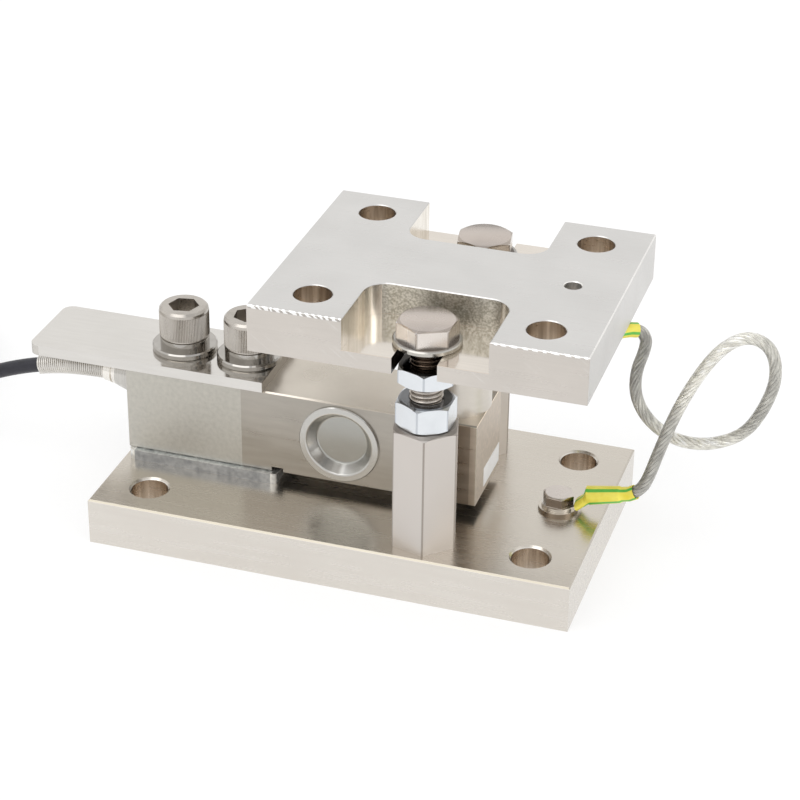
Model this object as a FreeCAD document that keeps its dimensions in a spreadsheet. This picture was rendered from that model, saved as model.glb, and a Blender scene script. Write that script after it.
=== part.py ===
"""Tank weighing module: a shear-beam load cell bolted to a base plate, with a top plate that rests on it
through a ball between two cups, hold-down bolts on hex standoffs, a signal cable and a ground strap.
Millimetres.

The origin is the centre of the base plate's underside. +X runs along the load cell from its cable end to
its load end, and +Z is up.
"""
import FreeCAD
import Part
import Sketcher
import math
import os
from types import SimpleNamespace

from FreeCAD import Placement, Rotation, Vector

# Driving dimensions: alias, number, meaning
DIMENSIONS = (
    ("base_length", 180, "base plate along the load cell"),
    ("base_width", 100, "base plate across the load cell"),
    ("base_thick", 18, "base plate thickness"),
    ("base_hole_span_x", 144, "base fixing holes, along"),
    ("base_hole_span_y", 70, "base fixing holes, across"),
    ("fixing_hole", 13.5, "clearance hole for an M12 bolt"),
    ("edge_break", 0.6, "small chamfer on plate edges"),
    ("rim_break", 0.8, "chamfer on the rims of the base plate's fixing holes"),
    ("load_x", 33, "load line, which is also the top plate's centre"),
    ("top_length", 119, "top plate along the load cell"),
    ("top_width", 100, "top plate across the load cell"),
    ("top_thick", 17.6, "top plate thickness"),
    ("top_hole_span_x", 82, "top fixing holes, along"),
    ("top_hole_span_y", 70, "top fixing holes, across"),
    ("pocket_width", 51.4, "hold-down pocket in each long edge of the top plate"),
    ("pocket_corner", 8, "inner corner radius of the pocket, from the milling cutter"),
    ("web_width", 38, "solid middle of the top plate between the two pockets"),
    ("ledge_thick", 6, "ledge left under each pocket"),
    ("slot_width", 16, "open slot in the ledge for the hold-down bolt"),
    ("spacer_left", -87.5, "left end of the spacer under the cell's fixed end"),
    ("spacer_length", 58.5, "spacer plate length"),
    ("spacer_width", 36, "spacer plate width"),
    ("spacer_thick", 4, "spacer plate thickness, the gap under the cell's free end"),
    ("spacer_corner", 2, "spacer plate corner radius"),
    ("cell_left", -88, "cable end face of the load cell"),
    ("cell_length", 134, "load cell length"),
    ("cell_width", 31.8, "load cell width"),
    ("cell_height", 33, "load cell height"),
    ("cell_edge", 0.5, "chamfer on the load cell's long edges"),
    ("screw_mid_x", -58.15, "middle of the two mounting screws"),
    ("screw_pitch", 25.4, "spacing of the two mounting screws"),
    ("relief_x", -31.5, "start of the relief groove under the cell"),
    ("relief_width", 4.5, "relief groove width"),
    ("relief_depth", 2, "relief groove depth"),
    ("gauge_x", -5.2, "gauge pocket centre"),
    ("gauge_bore", 26, "gauge pocket diameter"),
    ("gauge_web", 4, "web that carries the strain gauges"),
    ("gauge_pad_length", 9, "strain gauge backing, along"),
    ("gauge_pad_height", 6, "strain gauge backing, up"),
    ("gauge_pad_thick", 0.3, "strain gauge backing and cover coat"),
    ("cup_rim", 30.4, "outside of the sealing cup's welded rim"),
    ("cup_mouth", 25, "mouth of the sealing cup"),
    ("cup_floor", 19.4, "floor of the sealing cup"),
    ("cup_depth", 4.1, "cup floor below its rim"),
    ("cup_proud", 0.9, "rim height above the cell's side"),
    ("cup_wall", 0.7, "sheet thickness of the cup"),
    ("cup_round", 0.9, "press radius at the cup's mouth and floor"),
    ("load_bore", 17, "bore for the seat in the load end"),
    ("bore_play", 0.2, "diametral play of the seat's and the cup's spigots"),
    ("seat_collar", 27, "collar of the load seat"),
    ("seat_height", 15, "load seat above the cell"),
    ("seat_spigot", 28, "load seat spigot length in the cell"),
    ("dish_radius", 10, "radius of the dishes that hold the ball"),
    ("dish_depth", 4, "depth of the dishes"),
    ("ball_gap", 11, "free height between the seat and the upper cup"),
    ("upper_cup_height", 9.1, "upper cup below the top plate"),
    ("upper_cup_spigot", 6, "upper cup spigot in the top plate"),
    ("turned_chamfer", 0.8, "chamfer on turned collars and screw ends"),
    ("guard_left", -126.6, "left end of the cable guard plate"),
    ("guard_length", 92.4, "guard plate length"),
    ("guard_width", 34, "guard plate width"),
    ("guard_thick", 4, "guard plate thickness"),
    ("guard_corner", 4, "guard plate corner radius over the cable"),
    ("thread", 12, "M12 thread"),
    ("thread_room", 0.2, "diametral room of a threaded hole drawn at its outer diameter"),
    ("screw_head", 18, "M12 socket head diameter"),
    ("screw_head_height", 12, "M12 socket head height"),
    ("screw_length", 60, "mounting screw below its head"),
    ("socket_across", 10, "hex socket across flats"),
    ("socket_depth", 6, "hex socket depth"),
    ("tapped_depth", 15, "tapped holes for the mounting screws"),
    ("washer_outer", 24, "M12 flat washer outside"),
    ("washer_inner", 13, "M12 flat washer inside"),
    ("washer_thick", 2.5, "M12 flat washer under the mounting screws"),
    ("washer_edge", 0.5, "chamfer round the outside of the flat washers"),
    ("spring_washer_outer", 18.2, "M12 spring washer outside"),
    ("spring_washer_inner", 12.4, "M12 spring washer inside"),
    ("spring_washer_thick", 2.9, "M12 spring washer, tightened flat"),
    ("spring_washer_split", 1.2, "gap between the spring washer's ends"),
    ("hold_span", 70, "distance between the two hold-down bolts"),
    ("hex_across", 19, "M12 bolt head and nuts across flats"),
    ("bolt_head_height", 7, "hold-down bolt head"),
    ("bolt_length", 55, "hold-down bolt below its head"),
    ("hold_washer_thick", 2.1, "washer on the ledge"),
    ("jack_nut_height", 7, "thin nut under the ledge"),
    ("jack_nut_gap", 1.4, "lift that the nut leaves under the ledge"),
    ("lock_nut_height", 10, "nut that locks the bolt in the standoff"),
    ("standoff_across", 22, "hex standoff across flats"),
    ("standoff_height", 47, "hex standoff above the base"),
    ("standoff_bore", 25, "threaded depth in the standoff"),
    ("standoff_spigot", 14, "standoff spigot diameter in the base"),
    ("standoff_spigot_length", 12, "standoff spigot length in the base"),
    ("label_y", -5, "near edge of the bare label on the load end face"),
    ("label_width", 20, "label width"),
    ("label_z", 24.4, "lower edge of the label"),
    ("label_height", 7.6, "label height"),
    ("label_thick", 0.2, "label thickness"),
    ("gland_z", 44.2, "cable axis above the floor"),
    ("gland_flange", 16, "gland flange diameter"),
    ("gland_flange_thick", 2, "gland flange thickness"),
    ("gland_neck", 9.6, "small end of the gland's cone"),
    ("gland_cone_length", 9.4, "length of the gland's cone"),
    ("gland_groove", 8.2, "crimp groove diameter"),
    ("gland_groove_width", 0.7, "crimp groove width"),
    ("ferrule", 8.4, "ferrule diameter at the spring"),
    ("ferrule_length", 3.4, "ferrule length"),
    ("gland_spigot", 10, "gland spigot diameter in the cell"),
    ("gland_spigot_length", 8, "gland spigot length in the cell"),
    ("cable", 5.7, "signal cable diameter"),
    ("cable_play", 0.2, "diametral play round the cable"),
    ("relief_spring", 7.4, "strain relief spring outside"),
    ("relief_spring_root", 6.9, "strain relief spring between two turns"),
    ("relief_spring_length", 27.5, "strain relief spring length along the cable"),
    ("coil_x", -232, "centre of the put-away cable coil"),
    ("coil_y", 41.15, "centre of the put-away cable coil"),
    ("coil_radius", 32.6, "middle of the coil's turns"),
    ("coil_corner", 1.2, "corner of the coil's section, which the outermost turns round off"),
    ("coil_lead", 23, "straight lead from the cable's run onto the coil"),
    ("coil_tail", 25, "straight tail that leaves the coil"),
    ("coil_end_inset", 0.2, "how far lead and tail stay inside the coil's faces"),
    ("tie_thick", 1, "coil tie strap thickness"),
    ("tie_width", 4, "coil tie strap width"),
    ("tie_play", 0.2, "room between tie and coil"),
    ("core", 1.3, "cable core diameter"),
    ("core_length", 22, "core ends past the sheath"),
    ("core_gap", 0.2, "room between the sheath's end and the fanned cores"),
    ("ground_base_x", 73, "ground screw on the base plate"),
    ("ground_top_x", 74.3, "ground screw in the top plate"),
    ("ground_thread", 6, "M6 thread"),
    ("ground_hex", 10, "M6 head across flats"),
    ("ground_head_height", 4, "M6 head height"),
    ("ground_screw_length", 12, "M6 screw below its head"),
    ("ground_hole_depth", 11, "tapped hole for the ground screw in the base plate"),
    ("ground_washer_outer", 14.4, "M6 washer under the cable lug, outside"),
    ("ground_washer_thick", 1.3, "M6 washer thickness"),
    ("lug_ring", 12, "ring of the cable lug"),
    ("lug_hole", 6.4, "hole of the cable lug"),
    ("lug_thick", 1.2, "sheet thickness of the cable lug"),
    ("lug_tongue", 5, "width of the lug's tongue"),
    ("lug_bend", 5.8, "where the tongue leaves the ring's plane, from the screw"),
    ("lug_barrel", 5.2, "crimped barrel of the lug"),
    ("sleeve_wall", 0.3, "heat-shrink sleeve wall"),
    ("sleeve_play", 0.4, "diametral play of the sleeve on barrel and strap"),
    ("sleeve_flat_width", 9.2, "sleeve's mouth on the lug's tongue, across"),
    ("sleeve_flat_height", 3.2, "sleeve's mouth on the lug's tongue, up"),
    ("sleeve_waist_width", 6.6, "sleeve below the barrel, across"),
    ("sleeve_waist_height", 3.8, "sleeve below the barrel, up"),
    ("strap", 4.4, "ground strap diameter over its clear jacket"),
)

# Turns about the vertical, in degrees, from the hexagon's corner on +X
BOLT_TURNS = (-93.4, -80.0)
JACK_NUT_TURNS = (-78.6, -100.0)
LOCK_NUT_TURNS = (-90.0, -72.0)
STANDOFF_TURNS = (-76.0, -76.0)
SOCKET_TURNS = (12.0, 38.0)
GROUND_HEAD_TURN = -65.0
TOP_LUG_TURN = 39.7
CELL_SIDES = {"front": 90.0, "rear": -90.0}
TIE_TURNS = (75.0, 195.0)
CORE_FANS = (-12.0, -4.0, 4.0, 12.0)
CORE_DROOP = 6.0
COIL_IN_TURN = -90.0
COIL_OUT_TURN = -60.0

# The signal cable from inside its gland to the coil's lead, and the ground strap from lug to lug
CABLE_ROUTE = (
    (-97, 0, 44.2), (-112, 0, 44.2), (-127, 0, 42.3), (-141, 0, 38.3), (-154, 0, 33), (-166, 0, 27.9),
    (-177, 0, 24.3), (-188, 0, 22.1), (-199, 0, 21.25), (-208.8, 0, 21.15),
)
STRAP_ROUTE = (
    (88.5, 11.8, 86.55), (91.8, 14.6, 86.5), (95.2, 17.4, 85.5), (97.6, 18.8, 81.8), (97.1, 18.4, 76.8),
    (95, 16.8, 69.6), (95.4, 14.6, 61.6), (99.6, 12.4, 54.8), (106.4, 10.6, 50.2), (114.5, 9.4, 47.8),
    (125.5, 8, 49.6), (136.8, 7, 56.6), (144, 6, 68.2), (146.8, 5, 81.6), (143.2, 4, 94),
    (134, 2.8, 98.2), (125.2, 1.6, 93.4), (118.4, 1, 81.6), (112.2, 0.2, 65.4), (107.8, -0.4, 48),
    (105.4, -0.4, 37.2), (103.2, -0.3, 32.1), (99.6, 0, 28.8), (95, 0, 27.8),
)
ARC_SHARE = 0.45

# The lugs as bent on their washers: the barrel's two ends, from the screw and from the washer, how far up
# the tongue the sleeve starts, how much wider it is at the barrel's back and how far it covers the strap
BASE_LUG = SimpleNamespace(
    start_x=11.5, start_z=6.23, end_x=21.95, end_z=8.49, sleeve_start=0.2, shoulder=0.4, sleeve_reach=6.4,
)
TOP_LUG = SimpleNamespace(
    start_x=11, start_z=2.2, end_x=18.4, end_z=2.25, sleeve_start=0.32, shoulder=0.2, sleeve_reach=7.5,
)
SLEEVE_STRAP_SHARES = (0.2, 0.6, 1.0)
TONGUE_WAIST = 0.7
ROUND_ALLOWANCE = 0.01

HEX_CORNER = 1 / math.sqrt(3)
CHAMFER_FACE = 0.475
CHAMFER_REACH = 0.62
CHAMFER_SLOPE = math.tan(math.radians(30))
EDGE_TOLERANCE = 1e-6

doc = FreeCAD.newDocument("weighing_module")
sheet = doc.addObject("Spreadsheet::Sheet", "dims")
parts = []


class Size:
    """A size of the sheet, or a sum of such sizes: its number, and the formula that the document keeps."""

    def __init__(self, value, formula):
        self.value = value
        self.formula = formula

    def __add__(self, other):
        return Size(self.value + number(other), f"({self.formula} + {formula(other)})")

    def __sub__(self, other):
        return Size(self.value - number(other), f"({self.formula} - {formula(other)})")

    def __mul__(self, factor):
        return Size(self.value * factor, f"({self.formula} * {factor})")

    def __truediv__(self, factor):
        return Size(self.value / factor, f"({self.formula} / {factor})")

    def __neg__(self):
        return self * -1


def number(size):
    return size.value if isinstance(size, Size) else float(size)


def formula(size):
    return size.formula if isinstance(size, Size) else str(float(size))


def fill_sheet():
    """Writes the driving dimensions and gives them back by name."""
    sizes = SimpleNamespace()
    for row, (alias, value, meaning) in enumerate(DIMENSIONS, start=1):
        sheet.set(f"A{row}", meaning)
        sheet.set(f"B{row}", str(value))
        sheet.setAlias(f"B{row}", alias)
        setattr(sizes, alias, Size(value, f"dims.{alias}"))
    doc.recompute()
    return sizes


d = fill_sheet()
cell_z = d.base_thick + d.spacer_thick
cell_top = cell_z + d.cell_height
guard_top = cell_top + d.guard_thick
ball = d.ball_gap + d.dish_depth * 2
top_z = cell_top + d.seat_height + d.ball_gap + d.upper_cup_height
ledge_z = top_z + d.ledge_thick
gland_length = d.gland_flange_thick + d.gland_cone_length + d.gland_groove_width + d.ferrule_length
coil_z = d.tie_thick + d.tie_play


# Helpers for features and places
def bind(feature, name, size):
    """Sets a property and keeps its formula."""
    if isinstance(size, Size):
        feature.setExpression(name, size.formula)
    else:
        setattr(feature, name, size)


def put(piece, x=0, y=0, z=0, rotation=None):
    """Places a piece: its turn, then where its own origin goes."""
    piece.Placement = Placement(Vector(number(x), number(y), number(z)), rotation or Rotation())
    for letter, size in zip("xyz", (x, y, z)):
        if isinstance(size, Size):
            piece.setExpression(f"Placement.Base.{letter}", size.formula)
    return piece


def about_z(angle):
    return Rotation(Vector(0, 0, 1), angle)


def new_body(name):
    return doc.addObject("PartDesign::Body", name)


def keep(piece, label):
    """Marks a finished sub-part: its label names its file."""
    piece.Label = label
    parts.append(piece)
    return piece


def keep_group(label, pieces):
    """Like pieces of one kind share a node, each a solid of its own."""
    group = doc.addObject("Part::Compound", label)
    group.Links = pieces
    return keep(group, label)


def new_sketch(body, plane, name, offset=0):
    """A sketch on one of the body's own origin planes, moved along the plane's normal."""
    sketch = body.newObject("Sketcher::SketchObject", name)
    sketch.AttachmentSupport = (next(f for f in body.Origin.OriginFeatures if f.Role == plane), [""])
    sketch.MapMode = "FlatFace"
    sketch.AttachmentOffset = Placement(Vector(0, 0, number(offset)), Rotation())
    if isinstance(offset, Size):
        sketch.setExpression("AttachmentOffset.Base.z", offset.formula)
    return sketch


def hold_point(sketch, geometry, point, x, y):
    """Dimensions one point of a sketch from its origin."""
    for kind, axis, size in (("DistanceX", -2, x), ("DistanceY", -1, y)):
        if number(size) == 0:
            sketch.addConstraint(Sketcher.Constraint("PointOnObject", geometry, point, axis))
        else:
            index = sketch.addConstraint(Sketcher.Constraint(kind, geometry, point, number(size)))
            sketch.setExpression(f"Constraints[{index}]", formula(size))


def draw_outline(sketch, points):
    """A closed outline of straight lines with every corner dimensioned."""
    first = sketch.GeometryCount
    count = len(points)
    corners = [Vector(number(x), number(y), 0) for x, y in points]
    for i in range(count):
        sketch.addGeometry(Part.LineSegment(corners[i], corners[(i + 1) % count]), False)
    for i in range(count):
        sketch.addConstraint(Sketcher.Constraint("Coincident", first + i, 2, first + (i + 1) % count, 1))
    for i, (x, y) in enumerate(points):
        hold_point(sketch, first + i, 1, x, y)


def draw_box(sketch, x0, x1, y0, y1):
    draw_outline(sketch, [(x0, y0), (x1, y0), (x1, y1), (x0, y1)])


def draw_centred_box(sketch, length, width):
    draw_box(sketch, -length / 2, length / 2, -width / 2, width / 2)


def draw_hexagon(sketch, across):
    """A regular hexagon with a corner on the sketch's +X."""
    corners = []
    for k in range(6):
        x_share = HEX_CORNER * math.cos(math.radians(60 * k))
        y_share = HEX_CORNER * math.sin(math.radians(60 * k))
        corners.append((across * x_share, across * y_share if k % 3 else 0))
    draw_outline(sketch, corners)


def draw_circle(sketch, diameter, x=0, y=0):
    middle = Vector(number(x), number(y), 0)
    geometry = sketch.addGeometry(Part.Circle(middle, Vector(0, 0, 1), number(diameter) / 2), False)
    if number(x) == 0 and number(y) == 0:
        sketch.addConstraint(Sketcher.Constraint("Coincident", geometry, 3, -1, 1))
    else:
        hold_point(sketch, geometry, 3, x, y)
    index = sketch.addConstraint(Sketcher.Constraint("Diameter", geometry, number(diameter)))
    sketch.setExpression(f"Constraints[{index}]", formula(diameter))


def draw_corner_circles(sketch, diameter, span_x, span_y):
    for x in (-span_x / 2, span_x / 2):
        for y in (-span_y / 2, span_y / 2):
            draw_circle(sketch, diameter, x, y)


def add_feature(body, kind, sketch):
    feature = body.newObject(f"PartDesign::{kind}", f"{sketch.Name}_{kind.lower()}")
    feature.Profile = sketch
    return feature


def pad(body, sketch, length, down=False, both_ways=False):
    feature = add_feature(body, "Pad", sketch)
    bind(feature, "Length", length)
    feature.Reversed = down
    if both_ways:
        feature.SideType = "Symmetric"
    return feature


def pocket(body, sketch, depth=None, forward=False):
    """Cuts behind the sketch plane, or in front of it: to a depth, or right through where none is given."""
    feature = add_feature(body, "Pocket", sketch)
    feature.Reversed = forward
    if depth is None:
        feature.Type = "ThroughAll"
    else:
        bind(feature, "Length", depth)
    return feature


def turn_profile(body, sketch, kind="Revolution"):
    """Turns a profile about the sketch's upright axis, as a solid or as a groove."""
    feature = add_feature(body, kind, sketch)
    feature.ReferenceAxis = (sketch, ["V_Axis"])
    feature.Angle = 360
    return feature


def turned_body(name, profile):
    """A turned piece: a half profile of radius and height, turned about its own Z."""
    body = new_body(name)
    sketch = new_sketch(body, "XZ_Plane", f"{name}_profile")
    draw_outline(sketch, profile)
    turn_profile(body, sketch)
    return body


def edges_where(feature, test):
    doc.recompute()
    return [f"Edge{i}" for i, edge in enumerate(feature.Shape.Edges, start=1) if test(edge)]


def at_height(edge, height):
    return all(abs(v.Z - number(height)) < EDGE_TOLERANCE for v in edge.Vertexes)


def is_upright_at_x(edge, *places):
    low, high = edge.BoundBox.ZMin, edge.BoundBox.ZMax
    upright = edge.BoundBox.XLength < EDGE_TOLERANCE and edge.BoundBox.YLength < EDGE_TOLERANCE
    near = any(abs(edge.Vertexes[0].X - number(x)) < EDGE_TOLERANCE for x in places)
    return upright and high - low > EDGE_TOLERANCE and near


def is_round(edge, diameter):
    return abs(getattr(edge.Curve, "Radius", 0) - number(diameter) / 2) < EDGE_TOLERANCE


def dress(body, kind, feature, edges, name, size):
    """A chamfer or a fillet on the named edges."""
    dressed = body.newObject(f"PartDesign::{kind}", name)
    dressed.Base = (feature, edges)
    bind(dressed, "Size" if kind == "Chamfer" else "Radius", size)
    return dressed


def plate_body(name, length, width, thick):
    """A plate centred on its own origin, standing on it."""
    body = new_body(name)
    sketch = new_sketch(body, "XY_Plane", f"{name}_outline")
    draw_centred_box(sketch, length, width)
    return body, pad(body, sketch, thick)


def ring_body(name, outer, inner, thick):
    body = new_body(name)
    sketch = new_sketch(body, "XY_Plane", f"{name}_rings")
    draw_circle(sketch, outer)
    draw_circle(sketch, inner)
    pad(body, sketch, thick)
    return body


def washer_body(name, thick):
    """A flat M12 washer with its outside edges broken."""
    body = ring_body(name, d.washer_outer, d.washer_inner, thick)
    outside = edges_where(body.Tip, lambda edge: is_round(edge, d.washer_outer))
    dress(body, "Chamfer", body.Tip, outside, f"{name}_edges", d.washer_edge)
    return body


def break_hex_corners(body, name, across, height, upper):
    """The 30 degree turned chamfer on the corners of a hexagon's end face."""
    face = across * CHAMFER_FACE
    reach = across * CHAMFER_REACH
    drop = across * ((CHAMFER_REACH - CHAMFER_FACE) * CHAMFER_SLOPE)
    low = height - drop if upper else drop
    sketch = new_sketch(body, "XZ_Plane", f"{name}_corner_break_{'upper' if upper else 'lower'}")
    draw_outline(sketch, [(face, height), (reach, height), (reach, low)])
    turn_profile(body, sketch, "Groove")


def hex_body(name, across, height):
    body = new_body(name)
    sketch = new_sketch(body, "XY_Plane", f"{name}_hexagon")
    draw_hexagon(sketch, across)
    pad(body, sketch, height)
    return body


def hex_screw(name, across, head_height, thread, length):
    """A hex head screw that stands on the underside of its head."""
    body = hex_body(name, across, head_height)
    break_hex_corners(body, name, across, head_height, True)
    shank_sketch = new_sketch(body, "XY_Plane", f"{name}_shank")
    draw_circle(shank_sketch, thread)
    shank = pad(body, shank_sketch, length, down=True)
    tip = edges_where(shank, lambda edge: at_height(edge, -length))
    dress(body, "Chamfer", shank, tip, f"{name}_tip", d.turned_chamfer)
    return body


def hex_nut(name, across, height):
    body = hex_body(name, across, height)
    break_hex_corners(body, name, across, height, True)
    break_hex_corners(body, name, across, 0, False)
    bore = new_sketch(body, "XY_Plane", f"{name}_bore", height)
    draw_circle(bore, d.thread + d.thread_room)
    pocket(body, bore)
    return body


# Plates
def make_base_plate():
    """The ground plate: fixing holes right through, and blind tapped holes for what stands on it."""
    body, plate = plate_body("base_plate", d.base_length, d.base_width, d.base_thick)
    fixing = new_sketch(body, "XY_Plane", "base_fixing_holes", d.base_thick)
    draw_corner_circles(fixing, d.fixing_hole, d.base_hole_span_x, d.base_hole_span_y)
    pocket(body, fixing)
    tapped = new_sketch(body, "XY_Plane", "base_tapped_holes", d.base_thick)
    for x in (d.screw_mid_x - d.screw_pitch / 2, d.screw_mid_x + d.screw_pitch / 2):
        draw_circle(tapped, d.thread + d.thread_room, x)
    pocket(body, tapped, d.tapped_depth)
    standoffs = new_sketch(body, "XY_Plane", "base_standoff_holes", d.base_thick)
    for y in (-d.hold_span / 2, d.hold_span / 2):
        draw_circle(standoffs, d.standoff_spigot + d.thread_room, d.load_x, y)
    pocket(body, standoffs, d.standoff_spigot_length + d.edge_break)
    ground = new_sketch(body, "XY_Plane", "base_ground_hole", d.base_thick)
    draw_circle(ground, d.ground_thread + d.thread_room, d.ground_base_x)
    last = pocket(body, ground, d.ground_hole_depth)

    def is_upper_edge(edge):
        return at_height(edge, d.base_thick) and isinstance(edge.Curve, Part.Line)

    def is_fixing_rim(edge):
        return at_height(edge, d.base_thick) and is_round(edge, d.fixing_hole)

    broken = dress(body, "Chamfer", last, edges_where(last, is_upper_edge), "base_edge_breaks", d.edge_break)
    dress(body, "Chamfer", broken, edges_where(broken, is_fixing_rim), "base_rim_breaks", d.rim_break)
    return keep(body, "base_plate")


def make_spacer_plate():
    """The packing under the clamped end, which leaves the free end clear of the base."""
    body, plate = plate_body("spacer_plate", d.spacer_length, d.spacer_width, d.spacer_thick)
    ends = (-d.spacer_length / 2, d.spacer_length / 2)
    upright = edges_where(plate, lambda edge: is_upright_at_x(edge, *ends))
    dress(body, "Fillet", plate, upright, "spacer_corners", d.spacer_corner)
    middle = d.spacer_left + d.spacer_length / 2
    holes = new_sketch(body, "XY_Plane", "spacer_holes", d.spacer_thick)
    for side in (-0.5, 0.5):
        draw_circle(holes, d.fixing_hole, d.screw_mid_x + d.screw_pitch * side - middle)
    pocket(body, holes)
    put(body, middle, 0, d.base_thick)
    return keep(body, "spacer_plate")


def make_guard_plate():
    """The plate clamped under the screw heads that reaches out over the cable and its spring."""
    body, plate = plate_body("cable_guard_plate", d.guard_length, d.guard_width, d.guard_thick)
    upright = edges_where(plate, lambda edge: is_upright_at_x(edge, -d.guard_length / 2))
    dress(body, "Fillet", plate, upright, "guard_corners", d.guard_corner)
    middle = d.guard_left + d.guard_length / 2
    holes = new_sketch(body, "XY_Plane", "guard_holes", d.guard_thick)
    for side in (-0.5, 0.5):
        draw_circle(holes, d.fixing_hole, d.screw_mid_x + d.screw_pitch * side - middle)
    pocket(body, holes)
    put(body, middle, 0, cell_top)
    return keep(body, "cable_guard_plate")


def make_top_plate():
    """The plate under the tank's foot, with a pocket, a ledge and an open slot in each long edge."""
    body, plate = plate_body("top_plate", d.top_length, d.top_width, d.top_thick)
    past_edge = -d.top_width / 2 - d.slot_width / 2
    recess = new_sketch(body, "XY_Plane", "top_pocket", d.top_thick)
    draw_box(recess, -d.pocket_width / 2, d.pocket_width / 2, past_edge, -d.web_width / 2)
    recess_cut = pocket(body, recess, d.top_thick - d.ledge_thick)
    slot = new_sketch(body, "XY_Plane", "top_slot", d.top_thick)
    draw_box(slot, -d.slot_width / 2, d.slot_width / 2, past_edge, -d.hold_span / 2)
    slot_cut = pocket(body, slot)
    slot_end = new_sketch(body, "XY_Plane", "top_slot_end", d.top_thick)
    draw_circle(slot_end, d.slot_width, 0, -d.hold_span / 2)
    slot_end_cut = pocket(body, slot_end)
    doc.recompute()
    mirrored = body.newObject("PartDesign::Mirrored", "rear_pocket_and_slot")
    mirrored.Originals = [recess_cut, slot_cut, slot_end_cut]
    mirrored.MirrorPlane = (next(f for f in body.Origin.OriginFeatures if f.Role == "XZ_Plane"), [""])
    body.Tip = mirrored

    def is_cutter_corner(edge):
        wall = abs(abs(edge.Vertexes[0].Y) - number(d.web_width) / 2) < EDGE_TOLERANCE
        return wall and is_upright_at_x(edge, -d.pocket_width / 2, d.pocket_width / 2)

    corners = edges_where(mirrored, is_cutter_corner)
    dress(body, "Fillet", mirrored, corners, "pocket_corners", d.pocket_corner)
    seat = new_sketch(body, "XY_Plane", "upper_cup_seat")
    draw_circle(seat, d.load_bore)
    pocket(body, seat, d.upper_cup_spigot + d.edge_break, forward=True)
    fixing = new_sketch(body, "XY_Plane", "top_fixing_holes", d.top_thick)
    draw_corner_circles(fixing, d.fixing_hole, d.top_hole_span_x, d.top_hole_span_y)
    pocket(body, fixing)
    ground = new_sketch(body, "XY_Plane", "top_ground_hole", d.top_thick)
    draw_circle(ground, d.ground_thread + d.thread_room, d.ground_top_x - d.load_x)
    last = pocket(body, ground)

    def is_upper_edge(edge):
        return at_height(edge, d.top_thick) and not is_round(edge, d.pocket_corner * 2)

    dress(body, "Chamfer", last, edges_where(last, is_upper_edge), "top_edge_breaks", d.edge_break / 2)
    put(body, d.load_x, 0, top_z)
    return keep(body, "top_plate")


# Load cell
def make_load_cell():
    """The shear beam: clamp holes, a load bore, and a thin web left between two gauge pockets."""
    body = new_body("load_cell_body")
    side = new_sketch(body, "XZ_Plane", "cell_side", d.cell_width / 2)
    draw_box(side, 0, d.cell_length, 0, d.cell_height)
    beam = pad(body, side, d.cell_width, down=True)

    def is_long_edge(edge):
        return edge.BoundBox.XLength > number(d.cell_length) / 2

    dress(body, "Chamfer", beam, edges_where(beam, is_long_edge), "cell_edges", d.cell_edge)
    clamp = new_sketch(body, "XY_Plane", "cell_clamp_holes", d.cell_height)
    for half in (-0.5, 0.5):
        draw_circle(clamp, d.fixing_hole, d.screw_mid_x + d.screw_pitch * half - d.cell_left)
    pocket(body, clamp)
    load = new_sketch(body, "XY_Plane", "cell_load_bore", d.cell_height)
    draw_circle(load, d.load_bore, d.load_x - d.cell_left)
    pocket(body, load)
    relief = new_sketch(body, "XZ_Plane", "cell_relief_groove", d.cell_width / 2)
    relief_start = d.relief_x - d.cell_left
    draw_box(relief, relief_start, relief_start + d.relief_width, 0, d.relief_depth)
    pocket(body, relief)
    gauge = new_sketch(body, "XZ_Plane", "cell_gauge_pocket", d.cell_width / 2)
    draw_circle(gauge, d.gauge_bore, d.gauge_x - d.cell_left, d.cell_height / 2)
    gauge_cut = pocket(body, gauge, (d.cell_width - d.gauge_web) / 2)
    doc.recompute()
    mirrored = body.newObject("PartDesign::Mirrored", "rear_gauge_pocket")
    mirrored.Originals = [gauge_cut]
    mirrored.MirrorPlane = (next(f for f in body.Origin.OriginFeatures if f.Role == "XZ_Plane"), [""])
    body.Tip = mirrored
    doc.recompute()
    gland = new_sketch(body, "YZ_Plane", "cell_gland_bore")
    draw_circle(gland, d.gland_spigot + d.cable_play, 0, d.gland_z - cell_z)
    pocket(body, gland, d.gland_spigot_length + d.edge_break, forward=True)
    put(body, d.cell_left, 0, cell_z)
    return keep(body, "load_cell_body")


def make_gauge_cup(side, turn):
    """A pressed sheet cup whose rim is welded round the gauge pocket's mouth."""
    rim = d.cup_rim / 2
    mouth = d.cup_mouth / 2
    floor = d.cup_floor / 2
    low = d.cup_proud - d.cup_depth
    name = f"gauge_cup_{side}"
    profile = [
        (0, low), (floor, low), (mouth, d.cup_proud), (rim - d.cup_wall / 2, d.cup_proud),
        (rim, d.cup_proud - d.cup_wall / 2), (rim, 0), (mouth, 0),
        (floor + d.cup_wall / 2, low - d.cup_wall), (0, low - d.cup_wall),
    ]
    cup = turned_body(name, profile)

    def is_pressed(edge):
        at_mouth = is_round(edge, d.cup_mouth) and at_height(edge, d.cup_proud)
        return at_mouth or (is_round(edge, d.cup_floor) and at_height(edge, low))

    dress(cup, "Fillet", cup.Tip, edges_where(cup.Tip, is_pressed), f"{name}_rounds", d.cup_round)
    outward = -d.cell_width / 2 if side == "front" else d.cell_width / 2
    put(cup, d.gauge_x, outward, cell_z + d.cell_height / 2, Rotation(Vector(1, 0, 0), turn))
    return keep(cup, name)


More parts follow.
